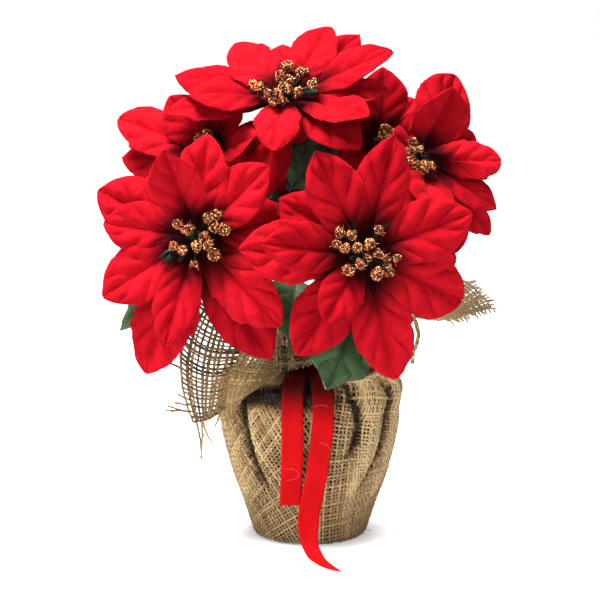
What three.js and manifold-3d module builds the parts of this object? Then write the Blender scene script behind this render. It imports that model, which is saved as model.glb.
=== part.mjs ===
// An artificial poinsettia: seven velvet blooms on one branched stem, in a
// plastic pot that is wrapped in a gathered square of burlap and tied with ribbon.
// Millimetres, +Z up. The origin is the middle of the flat base, and -Y is the front.
import * as THREE from 'three';
import { mergeVertices } from 'three/addons/utils/BufferGeometryUtils.js';
import Module from 'manifold-3d';

const wasm = await Module();
wasm.setup();

// ---------------------------------------------------------------- sizes

const GAP = 0.3;               // clearance between pieces that touch

const CLOTH = 1.2;             // burlap thickness
const CLOTH_COLUMNS = 36;
const NECK_HEIGHT = 107;       // where the ribbon gathers the burlap
const NECK_RADIUS = 15.5;
const GATHERS = 9;             // soft pleats that run up into the neck
const GATHER_DEPTH = 1.2;
const GATHER_START = 62;       // the pleats deepen from this height ...
const GATHER_FULL = 98;        // ... to this one
const COLLAR_ROWS = 4;
const COLLAR_LEAN = 0.22;      // how the collar leaves the neck: out and up, as
const COLLAR_CLIMB = 0.3;      // shares of the way to its free edge

const POT_HEIGHT = 72;
const POT_BASE_RADIUS = 29.5;
const POT_TOP_RADIUS = 47.5;
const POT_RIM = 1.8;           // how far the rim stands out
const POT_RIM_DEPTH = 5;
const POT_WALL = 1.6;
const POT_SIDES = 24;
const FILLER_TOP = 62;
const FILLER_CLEARANCE = 0.9;  // to the pot's slanted wall
const FILLER_SIDES = 16;

const TRUNK_RADIUS = 5;
const TRUNK_FOOT = 14;
const TRUNK_TOP = 103;
const TRUNK_SIDES = 8;
const STEM_RADIUS = 1.8;
const STEM_SIDES = 6;
const STEM_STEPS = 10;
const STEM_ROOT = 8;           // how deep a branch starts in the trunk
const STEM_FORK = [6, 10];     // out and up from the trunk's top to where it has left it

const BRACT_THICKNESS = 0.8;
const BRACT_STATIONS = [0, 0.3, 0.6, 0.86, 1];
const BRACT_ROOT = 2.6;        // half the width of a bract where it leaves the hub
const BRACT_ROOT_SINK = 1.5;   // how far a bract's midrib starts inside the hub's edge
const BRACT_ROOT_TAIL = 1.8;   // and the flat end that it has inward of there
const BRACT_CUP = 0.26;        // how much its folded halves round over again
const HUB_RADIUS = 6.5;
const HUB_HEIGHT = 1.8;
const HUB_HOLE = 1.8;
const HUB_SIDES = 8;
const WHORL_RISE = 2.2;        // from the lower whorl's plane to the upper one's

const CUP_RADIUS = 5.5;
const CUP_LENGTH = 8;
const CUP_WALL = 1.4;
const CUP_SHOULDER = 3;        // height of its wide upper part
const CUP_SOCKET = 3.4;        // how deep it takes the stem
const PIN_LENGTH = 7.4;        // the pin under the flower heads, down into the cup
const PIN_SEAT = 3.4;          // how deep the cup takes the pin
const CYATHIA_DISC = 5;
const HEADS_PER_BLOOM = 9;
const HEAD_RADIUS = 3.3;
const HEAD_LENGTH = 5;
const HEAD_SPREAD = 52;        // how far the outer stalks lean out
const STALK_LENGTH = 10;
const STALK_RADIUS = 0.9;
const GOLDEN_ANGLE = 137.5;

const LEAF_SWEEP = 0.06;       // how far the lobes point towards the tip
const LEAF_ARCH = 0.1;         // rise of the midrib, as a share of its length
const LEAF_TROUGH = 0.09;      // rise of the edges, as a share of the width
const LEAF_THICKNESS = 0.8;
const LEAF_RING = 4;           // height of the collar that slides on the stem
const LEAF_RING_WALL = 1.2;
const PETIOLE_RADIUS = 1;

const RIBBON_WIDTH = 12;
const RIBBON_THICKNESS = 0.8;
const RIBBON_STEPS = 12;
const RIBBON_SIDES = 16;
const RIBBON_BAND = 5;         // height of the bunched turn round the neck
const BAND_THICKNESS = [1.4, 1.8];   // at its edges and at its middle
const BAND_DROP = 0.4;         // from the end of the neck
const KNOT = [-3, -22, 104];   // middle of the knot
const KNOT_RADII = [8.5, 4.4, 4.6];

// The two tails, from the knot down over the shoulder: the way each middle runs, and
// how far it has turned about the vertical at its end.
const TAILS = {
  left: {
    route: [[-6, -22, 104], [-7, -30, 99.5], [-9, -42, 97], [-10, -50.5, 91], [-10, -53.6, 80],
      [-10, -54, 60], [-11, -53, 29]],
    turn: 6,
  },
  right: {
    route: [[0, -22, 104], [2, -30, 99.5], [5, -42, 97], [6.5, -51, 91], [7, -54, 80], [4, -54.6, 50],
      [-1, -54, 22], [-0.5, -55.5, 8], [3, -61, 1.6], [7, -72, 0.8], [12, -84, 1.2]],
    turn: 14,
  },
};

// Each bloom: its centre, the compass heading and the tilt above the horizon of the
// way it faces, and its bracts as [clock angle, length, width, lift, bend, fold].
const BLOOMS = {
  top: {
    centre: [-14, -8, 252], heading: -95, tilt: 56,
    upper: [[187, 54, 32, 11, -8, 22], [137, 45, 31, 24, 0, 18], [63, 54, 28, 19, 0, 26],
      [21, 66, 31, 14, 0, 26], [338, 52, 30, 5, -10, 20], [266, 46, 25, 14, -45, 18]],
    lower: [[164, 67, 34, 4, 0, 20], [182, 69, 30, -4, -6, 20], [96, 46, 24, 9, 0, 22],
      [52, 65, 30, 10, 0, 22], [326, 54, 32, -8, -14, 20], [10, 58, 28, 2, -6, 22]],
  },
  left: {
    centre: [-62, -50, 178], heading: -103, tilt: 12,
    upper: [[104, 56, 29, 36, 10, 34], [82, 56, 29, 14, 0, 24], [42, 57, 30, 12, 0, 24],
      [315, 67, 30, 6, -8, 24], [260, 64, 25, 14, -8, 26], [216, 60, 33, 9, 0, 22],
      [174, 51, 29, 13, 0, 22]],
    lower: [[13, 54, 30, 0, 0, 20], [302, 78, 34, -4, -6, 20], [250, 80, 35, -2, -6, 20],
      [157, 62, 35, 4, 0, 20]],
  },
  right: {
    centre: [28, -62, 170], heading: -82, tilt: 8,
    upper: [[76, 66, 29, 14, 0, 26], [117, 63, 30, 16, 0, 24], [174, 58, 27, 14, 0, 22],
      [238, 46, 24, 21, -10, 24], [336, 62, 34, 9, 0, 22], [20, 62, 32, 11, 0, 26]],
    lower: [[146, 54, 30, 0, 0, 20], [177, 67, 34, 2, -4, 20], [236, 65, 33, 0, -8, 20],
      [283, 70, 28, 2, -8, 24], [353, 54, 30, -6, 0, 20]],
  },
  far_left: {
    centre: [-56, 6, 220], heading: -125, tilt: 36, spread: 26,
    upper: [[172, 63, 30, 21, 0, 24], [138, 42, 28, 36, 8, 30], [66, 38, 22, 20, 0, 24],
      [4, 42, 24, 22, 0, 24], [250, 46, 26, 18, 0, 24]],
    lower: [[186, 62, 32, 5, 0, 20], [104, 44, 26, 6, 0, 20], [30, 38, 24, 0, 0, 20]],
  },
  far_right: {
    centre: [62, -12, 218], heading: -50, tilt: 35,
    upper: [[74, 43, 36, 36, 0, 28], [346, 50, 26, 14, 0, 26], [314, 52, 28, 2, 0, 24],
      [240, 44, 26, 16, 0, 24], [160, 30, 22, 24, 0, 24]],
    lower: [[49, 64, 36, 16, 0, 26], [312, 61, 30, -12, 0, 20], [16, 50, 26, 4, 0, 20],
      [270, 58, 34, -4, 0, 20], [190, 36, 24, 8, 0, 20]],
  },
  back_right: {
    centre: [42, 34, 224], heading: -72, tilt: 28,
    upper: [[86, 46, 30, 22, 0, 24], [14, 42, 26, 12, 0, 24], [300, 44, 26, 16, 0, 24],
      [226, 50, 28, 18, 0, 24], [156, 44, 26, 22, 0, 24]],
    lower: [[112, 52, 28, 4, 0, 20], [48, 44, 26, -6, 0, 20], [330, 42, 26, -4, 0, 20],
      [256, 42, 28, 4, 0, 20], [204, 52, 30, 2, 0, 20]],
  },
  back: {
    centre: [-24, 60, 192], heading: 98, tilt: 22,
    upper: [[90, 50, 28, 22, 0, 24], [18, 52, 28, 22, 0, 24], [306, 54, 28, 22, 0, 24],
      [234, 54, 28, 22, 0, 24], [162, 52, 28, 22, 0, 24]],
    lower: [[54, 58, 32, 6, -8, 20], [342, 62, 32, 6, -8, 20], [270, 62, 32, 6, -8, 20],
      [198, 62, 32, 6, -8, 20], [126, 58, 32, 6, -8, 20]],
  },
};

// Each leaf: the bloom whose stem it grows on, how far up that stem, the two ends of
// its midrib, its width and the way its upper face looks.
const LEAVES = {
  front: {
    stem: 'right', at: 0.6, width: 42, base: [28, -49, 142], tip: [8, -62, 96], face: [0.1, -1, 0.2],
  },
  middle: {
    stem: 'left', at: 0.4, width: 34, base: [-8, -30, 152], tip: [-14, -44, 112], face: [0.3, -1, 0.1],
  },
  low_left: {
    stem: 'left', at: 0.72, width: 34, base: [-58, -22, 150], tip: [-101, -26, 126], face: [-0.3, -0.7, 0.6],
  },
  shaded: {
    stem: 'top', at: 0.7, width: 30, base: [-10, -3, 202], tip: [14, -6, 236], face: [0.2, -1, 0.3],
  },
  high_right: {
    stem: 'back_right', at: 0.8, width: 26, base: [46, 60, 206], tip: [60, 62, 246], face: [0.2, -1, 0.1],
  },
  right: {
    stem: 'far_right', at: 0.6, width: 32, base: [46, 2, 176], tip: [74, 14, 148], face: [0.5, 0.1, 0.9],
  },
  left: {
    stem: 'far_left', at: 0.65, width: 34, base: [-40, 14, 186], tip: [-80, 26, 172], face: [-0.3, 0.1, 0.9],
  },
  back_low: {
    stem: 'back', at: 0.6, width: 36, base: [-30, 40, 152], tip: [-60, 70, 128], face: [-0.2, 0.6, 0.8],
  },
  back_high: {
    stem: 'back_right', at: 0.55, width: 36, base: [26, 34, 176], tip: [52, 66, 152], face: [0.3, 0.5, 0.8],
  },
};

const COLOURS = {
  pot: 0x3a2a20, filler: 0xb9b2a4, burlap: 0xa98d68, ribbon: 0xc4101c, stem: 0x2f4a2c,
  bract: 0xb4101e, cyathia: 0xa87a3a, leaf: 0x35663a,
};

// ---------------------------------------------------------------- solids

const radians = THREE.MathUtils.degToRad;
const vector = ([x, y, z]) => new THREE.Vector3(x, y, z);

function solid(geometry) {
  const bare = geometry.clone();
  bare.deleteAttribute('normal');
  bare.deleteAttribute('uv');
  const merged = mergeVertices(bare, 1e-4);
  return new wasm.Manifold(new wasm.Mesh({
    numProp: 3,
    vertProperties: new Float32Array(merged.attributes.position.array),
    triVerts: new Uint32Array(merged.index.array),
  }));
}

function geometryOf(body) {
  const mesh = body.getMesh();
  const geometry = new THREE.BufferGeometry();
  geometry.setAttribute('position', new THREE.Float32BufferAttribute(mesh.vertProperties, 3));
  geometry.setIndex(Array.from(mesh.triVerts));
  return geometry;
}

function fuse(geometries) {
  return geometryOf(geometries.map(solid).reduce((whole, piece) => whole.add(piece)));
}

// The normal of a grid of points at one of them, from its neighbours.
function gridNormal(grid, i, j, round) {
  const rows = grid.length;
  const columns = grid[i].length;
  const before = round ? (j + columns - 1) % columns : Math.max(j - 1, 0);
  const after = round ? (j + 1) % columns : Math.min(j + 1, columns - 1);
  const along = grid[Math.min(i + 1, rows - 1)][j].clone().sub(grid[Math.max(i - 1, 0)][j]);
  const across = grid[i][after].clone().sub(grid[i][before]);
  return along.cross(across).normalize();
}

// A closed sheet of even thickness about a grid of points, split alike on both faces.
// A round sheet joins its last column to its first, and starts at a pole.
function sheet(grid, thickness, round = false) {
  const rows = grid.length;
  const columns = grid[0].length;
  const positions = [];
  const triangles = [];
  for (const side of [0.5, -0.5]) {
    for (let i = 0; i < rows; i += 1) {
      for (let j = 0; j < columns; j += 1) {
        const normal = round && i === 0 ? new THREE.Vector3(0, 0, 1) : gridNormal(grid, i, j, round);
        positions.push(...grid[i][j].clone().addScaledVector(normal, side * thickness).toArray());
      }
    }
  }
  const under = rows * columns;
  const at = (i, j) => i * columns + (j % columns);
  const spans = round ? columns : columns - 1;
  for (let i = 0; i < rows - 1; i += 1) {
    for (let j = 0; j < spans; j += 1) {
      const [a, b, c, d] = [at(i, j), at(i, j + 1), at(i + 1, j + 1), at(i + 1, j)];
      if (i > 0 || !round) {
        triangles.push([a, c, b], [a + under, b + under, c + under]);
      }
      triangles.push([a, d, c], [a + under, c + under, d + under]);
    }
  }
  const border = (a, b) => triangles.push([a, b, b + under], [a, b + under, a + under]);
  for (let j = 0; j < spans; j += 1) {
    border(at(rows - 1, j + 1), at(rows - 1, j));
    if (!round) {
      border(at(0, j), at(0, j + 1));
    }
  }
  for (let i = 0; i < rows - 1 && !round; i += 1) {
    border(at(i + 1, 0), at(i, 0));
    border(at(i, columns - 1), at(i + 1, columns - 1));
  }
  const geometry = new THREE.BufferGeometry();
  geometry.setAttribute('position', new THREE.Float32BufferAttribute(positions, 3));
  geometry.setIndex(triangles.flat());
  return geometry;
}

function tube(path, radius, sides, steps) {
  const section = new THREE.Shape();
  for (let k = 0; k < sides; k += 1) {
    const angle = (2 * Math.PI * k) / sides;
    const point = [radius * Math.cos(angle), radius * Math.sin(angle)];
    if (k === 0) {
      section.moveTo(...point);
    } else {
      section.lineTo(...point);
    }
  }
  section.closePath();
  return new THREE.ExtrudeGeometry(section, { steps, extrudePath: path, curveSegments: 1 });
}

function turned(profile, sides) {
  const points = profile.map(([radius, height]) => new THREE.Vector2(radius, height));
  return new THREE.LatheGeometry(points, sides).rotateX(Math.PI / 2);
}

function mesh(name, geometry, colour, roughness = 0.8, metalness = 0) {
  const material = new THREE.MeshStandardMaterial({ color: colour, roughness, metalness });
  const made = new THREE.Mesh(geometry, material);
  made.name = name;
  return made;
}

// ---------------------------------------------------------------- pot and burlap

function pot() {
  const rimFoot = POT_HEIGHT - POT_RIM_DEPTH;
  const profile = [
    [0, 0], [POT_BASE_RADIUS, 0], [POT_TOP_RADIUS, rimFoot], [POT_TOP_RADIUS + POT_RIM, rimFoot],
    [POT_TOP_RADIUS + POT_RIM, POT_HEIGHT], [POT_TOP_RADIUS - POT_WALL, POT_HEIGHT],
    [POT_TOP_RADIUS - POT_WALL, rimFoot], [POT_BASE_RADIUS - POT_WALL, POT_WALL], [0, POT_WALL],
  ];
  const made = mesh('pot', turned(profile, POT_SIDES), COLOURS.pot, 0.5);
  made.position.z = CLOTH + GAP;
  return made;
}

function filler() {
  const foot = CLOTH + GAP + POT_WALL + GAP;
  const slope = (POT_TOP_RADIUS - POT_BASE_RADIUS) / (POT_HEIGHT - POT_RIM_DEPTH);
  const wall = (height) => POT_BASE_RADIUS - POT_WALL + slope * (height - CLOTH - GAP);
  const inside = (height) => wall(height) - FILLER_CLEARANCE;
  const hole = TRUNK_RADIUS + GAP;
  const profile = [
    [0, foot], [inside(foot), foot], [inside(FILLER_TOP), FILLER_TOP], [hole, FILLER_TOP],
    [hole, TRUNK_FOOT], [0, TRUNK_FOOT],
  ];
  return mesh('filler', turned(profile, FILLER_SIDES), COLOURS.filler, 0.95);
}

// The base's facets meet beside its middle, so that the origin lies inside one of them.
const BASE_POLE = new THREE.Vector3(4, 1.5, CLOTH / 2);

// The wrapped body from the middle of the base up to the neck: radius and height of
// the middle of the cloth.
const BODY_PROFILE = [
  [0, CLOTH / 2], [28.5, CLOTH / 2], [31, 0.9], [33, 4.5], [38.2, 20], [45, 38], [49.6, 54], [51.3, 66],
  [51, 76], [48.6, 86], [43, 92], [32, 95.5], [17, 98.4], [NECK_RADIUS, 101],
  [NECK_RADIUS, NECK_HEIGHT],
];

// The free edge of the cloth, round the neck from +X: four corners hang out as flaps.
const EDGE = [
  [104, 8, 130], [72, 32, 126], [42, 70, 118], [8, 30, 121], [-34, 68, 112], [-56, 14, 134],
  [-76, -16, 116], [-86, -32, 96], [-75, -42, 72], [-59, -45, 58], [-40, -44, 92], [-8, -32, 112],
  [14, -30, 114], [30, -22, 118], [66, -26, 118],
];
const EDGE_ANGLES = [3, 28, 58, 95, 130, 160, 180, 200, 215, 228, 242, 262, 285, 312, 338];

function edgePoint(angle) {
  const count = EDGE.length;
  const turn = ((angle - EDGE_ANGLES[0]) % 360 + 360) % 360 + EDGE_ANGLES[0];
  let k = count - 1;
  while (k > 0 && EDGE_ANGLES[k] > turn) {
    k -= 1;
  }
  const start = EDGE_ANGLES[k];
  const end = k + 1 < count ? EDGE_ANGLES[k + 1] : EDGE_ANGLES[0] + 360;
  const share = (turn - start) / (end - start);
  return vector(EDGE[k]).lerp(vector(EDGE[(k + 1) % count]), share);
}

function gather(angle, height) {
  const reach = THREE.MathUtils.smoothstep(height, GATHER_START, GATHER_FULL);
  return -GATHER_DEPTH * reach * Math.cos(radians(GATHERS * angle));
}

function burlapWrap() {
  const angles = Array.from({ length: CLOTH_COLUMNS }, (_, j) => (360 * j) / CLOTH_COLUMNS);
  const ring = (radius, height, angle) => new THREE.Vector3(
    radius * Math.cos(radians(angle)), radius * Math.sin(radians(angle)), height);
  const grid = BODY_PROFILE.map(([radius, height]) => angles.map((angle) => (
    radius === 0 ? BASE_POLE.clone() : ring(radius + gather(angle, height), height, angle))));
  for (let i = 1; i <= COLLAR_ROWS; i += 1) {
    const t = i / COLLAR_ROWS;
    grid.push(angles.map((angle) => {
      const neck = ring(NECK_RADIUS + gather(angle, NECK_HEIGHT), NECK_HEIGHT, angle);
      const edge = edgePoint(angle);
      const reach = edge.distanceTo(neck);
      const lean = neck.clone().add(ring(COLLAR_LEAN * reach, COLLAR_CLIMB * reach, angle));
      return new THREE.QuadraticBezierCurve3(neck, lean, edge).getPoint(t);
    }));
  }
  return mesh('burlap_wrap', sheet(grid, CLOTH, true), COLOURS.burlap, 0.95);
}

// ---------------------------------------------------------------- ribbon

function ribbonTail({ route, turn }) {
  const curve = new THREE.CatmullRomCurve3(route.map(vector), false, 'centripetal');
  const grid = Array.from({ length: RIBBON_STEPS + 1 }, (_, i) => {
    const share = i / RIBBON_STEPS;
    const middle = curve.getPointAt(share);
    const width = THREE.MathUtils.lerp(RIBBON_WIDTH * 0.5, RIBBON_WIDTH, Math.min(1, share * 5));
    const half = new THREE.Vector3(width / 2, 0, 0).applyAxisAngle(
      new THREE.Vector3(0, 0, 1), radians(turn * share));
    return [middle.clone().add(half), middle, middle.clone().sub(half)];
  });
  return sheet(grid, RIBBON_THICKNESS);
}

function ribbon() {
  const inner = (NECK_RADIUS + CLOTH / 2 + GATHER_DEPTH + GAP) / Math.cos(Math.PI / RIBBON_SIDES);
  const [thin, thick] = BAND_THICKNESS;
  const half = RIBBON_BAND / 2;
  const band = turned([
    [inner, -half], [inner + thin, -half], [inner + thick, 0], [inner + thin, half],
    [inner, half], [inner, -half],
  ], RIBBON_SIDES).translate(0, 0, NECK_HEIGHT - half - BAND_DROP);
  const knot = new THREE.SphereGeometry(1, 8, 6).scale(...KNOT_RADII).translate(...KNOT);
  const tails = Object.values(TAILS).map(ribbonTail);
  return mesh('ribbon', fuse([band, knot, ...tails]), COLOURS.ribbon, 0.6);
}

// ---------------------------------------------------------------- stems

function bloomFrame({ centre, heading, tilt }) {
  const flat = new THREE.Vector3(Math.cos(radians(heading)), Math.sin(radians(heading)), 0);
  const facing = flat.clone().multiplyScalar(Math.cos(radians(tilt)));
  facing.z = Math.sin(radians(tilt));
  const up = flat.clone().multiplyScalar(-Math.sin(radians(tilt)));
  up.z = Math.cos(radians(tilt));
  const right = up.clone().cross(facing);
  return new THREE.Matrix4().makeBasis(right, up, facing).setPosition(...centre);
}

// A branch: out of the trunk, up under its bloom, and straight into the bloom's cup.
function stemCurve(name) {
  const frame = bloomFrame(BLOOMS[name]);
  const behind = (depth) => new THREE.Vector3(0, 0, -depth).applyMatrix4(frame);
  const end = behind(HUB_HEIGHT / 2 + GAP + CUP_LENGTH - CUP_SOCKET + GAP);
  const straight = behind(HUB_HEIGHT / 2 + CUP_LENGTH + 3);
  const back = behind(HUB_HEIGHT / 2 + CUP_LENGTH + 9);
  const bend = behind(36);
  const [forkOut, forkUp] = STEM_FORK;
  const out = new THREE.Vector3(bend.x, bend.y, 0).normalize();
  const foot = new THREE.Vector3(0, 0, TRUNK_TOP - STEM_ROOT);
  const fork = new THREE.Vector3(0, 0, TRUNK_TOP + forkUp).addScaledVector(out, forkOut);
  const middle = fork.clone().lerp(bend, 0.6);
  middle.z = THREE.MathUtils.lerp(fork.z, bend.z, 0.62);
  return new THREE.CatmullRomCurve3([foot, fork, middle, back, straight, end], false, 'centripetal');
}

function stems() {
  const foot = TRUNK_FOOT + GAP;
  const trunk = turned(
    [[0, foot], [TRUNK_RADIUS, foot], [TRUNK_RADIUS, TRUNK_TOP], [0, TRUNK_TOP]], TRUNK_SIDES);
  const branches = Object.keys(BLOOMS).map(
    (name) => tube(stemCurve(name), STEM_RADIUS, STEM_SIDES, STEM_STEPS));
  return mesh('stems', fuse([trunk, ...branches]), COLOURS.stem, 0.5);
}

// ---------------------------------------------------------------- blooms

// Half the width of a bract at share t of its length.
function bractHalfWidth(width, t) {
  const blade = Math.sin(Math.PI * Math.min(t, 0.998) ** 1.3) ** 0.75;
  return (width / 2) * blade + BRACT_ROOT * (1 - t) ** 3;
}

// A bract's middle surface: a rib that lifts and bends, folded along its middle. The
// share s runs from 1 at its left edge to -1 at its right one.
function bractPoint([clock, length, width, lift, bend, fold], t, s) {
  const root = HUB_RADIUS - BRACT_ROOT_SINK;
  const start = radians(lift);
  const turn = radians(bend) || 1e-6;
  const slope = start + turn * t;
  const reach = (length - root) / turn;
  const along = root + reach * (Math.sin(slope) - Math.sin(start));
  const height = -reach * (Math.cos(slope) - Math.cos(start));
  const half = bractHalfWidth(width, t);
  const trough = Math.tan(radians(fold)) * Math.abs(s) - BRACT_CUP * s * s;
  const rise = half * trough * Math.min(1, 4 * t);
  return new THREE.Vector3(
    along - rise * Math.sin(slope), half * s, height + rise * Math.cos(slope),
  ).applyAxisAngle(new THREE.Vector3(0, 0, 1), radians(clock));
}

function bract(shape) {
  const inward = new THREE.Vector3(-BRACT_ROOT_TAIL, 0, 0);
  inward.applyAxisAngle(new THREE.Vector3(0, 0, 1), radians(shape[0]));
  const grid = BRACT_STATIONS.map((t) => [1, 0, -1].map((s) => bractPoint(shape, t, s)));
  grid.unshift(grid[0].map((point) => point.clone().add(inward)));
  return sheet(grid, BRACT_THICKNESS);
}

function whorl(bracts) {
  const half = HUB_HEIGHT / 2;
  const hub = turned([
    [HUB_HOLE, -half], [HUB_RADIUS, -half], [HUB_RADIUS, half], [HUB_HOLE, half], [HUB_HOLE, -half],
  ], HUB_SIDES);
  return fuse([hub, ...bracts.map(bract)]);
}

// The small flower heads on their stalks, spread from a disc whose pin stands in the cup.
function cyathia(spread) {
  const foot = WHORL_RISE + HUB_HEIGHT / 2 + GAP;
  const pin = HUB_HOLE - GAP;
  const base = turned([
    [0, foot - PIN_LENGTH], [pin, foot - PIN_LENGTH], [pin, foot], [CYATHIA_DISC, foot], [0, foot + 2],
  ], 6);
  const heads = Array.from({ length: HEADS_PER_BLOOM }, (_, k) => {
    const share = Math.sqrt((k + 0.3) / HEADS_PER_BLOOM);
    const stalk = STALK_LENGTH + 3 * share + (k % 3);
    const head = turned([
      [0, 0], [STALK_RADIUS, stalk], [HEAD_RADIUS, stalk + 0.4 * HEAD_LENGTH],
      [0.6 * HEAD_RADIUS, stalk + 0.92 * HEAD_LENGTH], [0, stalk + HEAD_LENGTH],
    ], 5);
    return head.rotateY(radians(spread * share)).translate(3 * share, 0, foot)
      .rotateZ(radians(GOLDEN_ANGLE * k));
  });
  return fuse([base, ...heads]);
}

function cup() {
  const top = -HUB_HEIGHT / 2 - GAP;
  const foot = top - CUP_LENGTH;
  const pinEnd = top - PIN_SEAT;
  const socketEnd = foot + CUP_SOCKET;
  const socket = (STEM_RADIUS + GAP) / Math.cos(Math.PI / STEM_SIDES);
  return turned([
    [0, socketEnd], [socket, socketEnd], [socket, foot], [socket + CUP_WALL, foot],
    [CUP_RADIUS - 0.5, top - CUP_SHOULDER], [CUP_RADIUS, top], [HUB_HOLE, top], [HUB_HOLE, pinEnd],
    [0, pinEnd],
  ], 6);
}

function bloom(name) {
  const { lower, upper, spread = HEAD_SPREAD } = BLOOMS[name];
  const group = new THREE.Group();
  group.applyMatrix4(bloomFrame(BLOOMS[name]));
  const top = mesh(`bloom_${name}_upper_bracts`, whorl(upper), COLOURS.bract, 0.95);
  top.position.z = WHORL_RISE;
  group.add(
    mesh(`bloom_${name}_cup`, cup(), COLOURS.stem, 0.6),
    mesh(`bloom_${name}_lower_bracts`, whorl(lower), COLOURS.bract, 0.95),
    top,
    mesh(`bloom_${name}_cyathia`, cyathia(spread), COLOURS.cyathia, 0.35, 0.6),
  );
  return group;
}

// ---------------------------------------------------------------- leaves

// Share of the half width at each share of the midrib: three toothed lobes a side.
const LEAF_OUTLINE = [
  [0, 0.05], [0.14, 0.6], [0.26, 1], [0.34, 0.76], [0.5, 0.98], [0.58, 0.66], [0.76, 0.62],
  [0.84, 0.36], [1, 0.02],
];

// A leaf's middle surface at share t of its midrib, s across and share of its width.
function leafPoint({ base, tip, width, face }, t, s, share) {
  const rib = vector(tip).sub(vector(base));
  const side = rib.clone().cross(vector(face)).normalize();
  const top = side.clone().cross(rib).normalize();
  const edge = Math.abs(s);
  const along = Math.min(1, t + LEAF_SWEEP * edge * Math.sin(Math.PI * t));
  const arch = LEAF_ARCH * rib.length() * Math.sin(Math.PI * along);
  const rise = arch + LEAF_TROUGH * edge * share * width;
  return vector(base).addScaledVector(rib, along)
    .addScaledVector(side, (s * share * width) / 2).addScaledVector(top, rise);
}

function leaf(name) {
  const shape = LEAVES[name];
  const blade = sheet(LEAF_OUTLINE.map(
    ([t, share]) => [1, 0, -1].map((s) => leafPoint(shape, t, s, share))), LEAF_THICKNESS);
  const inner = (STEM_RADIUS + GAP) / Math.cos(Math.PI / STEM_SIDES);
  const outer = inner + LEAF_RING_WALL;
  const half = LEAF_RING / 2;
  const ring = turned(
    [[inner, -half], [outer, -half], [outer, half], [inner, half], [inner, -half]], STEM_SIDES);
  const curve = stemCurve(shape.stem);
  const tangent = curve.getTangentAt(shape.at);
  const place = curve.getPointAt(shape.at);
  ring.applyQuaternion(new THREE.Quaternion().setFromUnitVectors(new THREE.Vector3(0, 0, 1), tangent));
  ring.translate(...place.toArray());
  const out = vector(shape.base).sub(place).projectOnPlane(tangent).normalize();
  const route = [
    place.clone().addScaledVector(out, inner + LEAF_RING_WALL / 2),
    place.clone().addScaledVector(out, outer + 4),
    leafPoint(shape, 0, 0, 1), leafPoint(shape, 0.08, 0, 1),
  ];
  const petiole = tube(new THREE.CatmullRomCurve3(route, false, 'centripetal'), PETIOLE_RADIUS, 4, 4);
  return mesh(`leaf_${name}`, fuse([ring, petiole, blade]), COLOURS.leaf, 0.7);
}

// ---------------------------------------------------------------- the whole plant

const poinsettia = new THREE.Group();
poinsettia.add(pot(), filler(), burlapWrap(), ribbon(), stems());
for (const name of Object.keys(BLOOMS)) {
  poinsettia.add(bloom(name));
}
for (const name of Object.keys(LEAVES)) {
  poinsettia.add(leaf(name));
}

export default poinsettia;
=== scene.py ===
import math
from functools import partialmethod

import bmesh
import bpy
import numpy as np
from mathutils import Matrix, Vector


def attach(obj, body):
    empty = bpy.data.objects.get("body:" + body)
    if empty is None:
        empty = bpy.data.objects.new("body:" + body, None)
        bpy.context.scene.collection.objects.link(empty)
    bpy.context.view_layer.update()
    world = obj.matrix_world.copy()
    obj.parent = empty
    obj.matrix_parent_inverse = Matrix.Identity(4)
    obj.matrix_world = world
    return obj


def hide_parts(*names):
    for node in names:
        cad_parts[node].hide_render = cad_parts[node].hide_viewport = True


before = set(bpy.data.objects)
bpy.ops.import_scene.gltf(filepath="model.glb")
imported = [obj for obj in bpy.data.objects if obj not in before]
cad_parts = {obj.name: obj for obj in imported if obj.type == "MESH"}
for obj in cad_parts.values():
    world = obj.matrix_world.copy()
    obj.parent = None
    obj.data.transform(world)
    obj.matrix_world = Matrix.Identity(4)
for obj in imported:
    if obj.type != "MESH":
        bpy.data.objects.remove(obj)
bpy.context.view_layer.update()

bl_info = {
    "name": "Artificial Poinsettia",
    "version": (1, 0, 0),
    "blender": (4, 5, 0),
    "location": "3D View > Sidebar > Poinsettia",
    "description": "Velvet blooms, cloth leaves, a burlap wrap and a ribbon for a table plant",
    "category": "Add Mesh",
}

# Lists and tables below are in millimetres and degrees; meshes are made in metres.
MM = 0.001
UP = Vector((0, 0, 1))

# ---------------------------------------------------------------- the plant's layout

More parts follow.
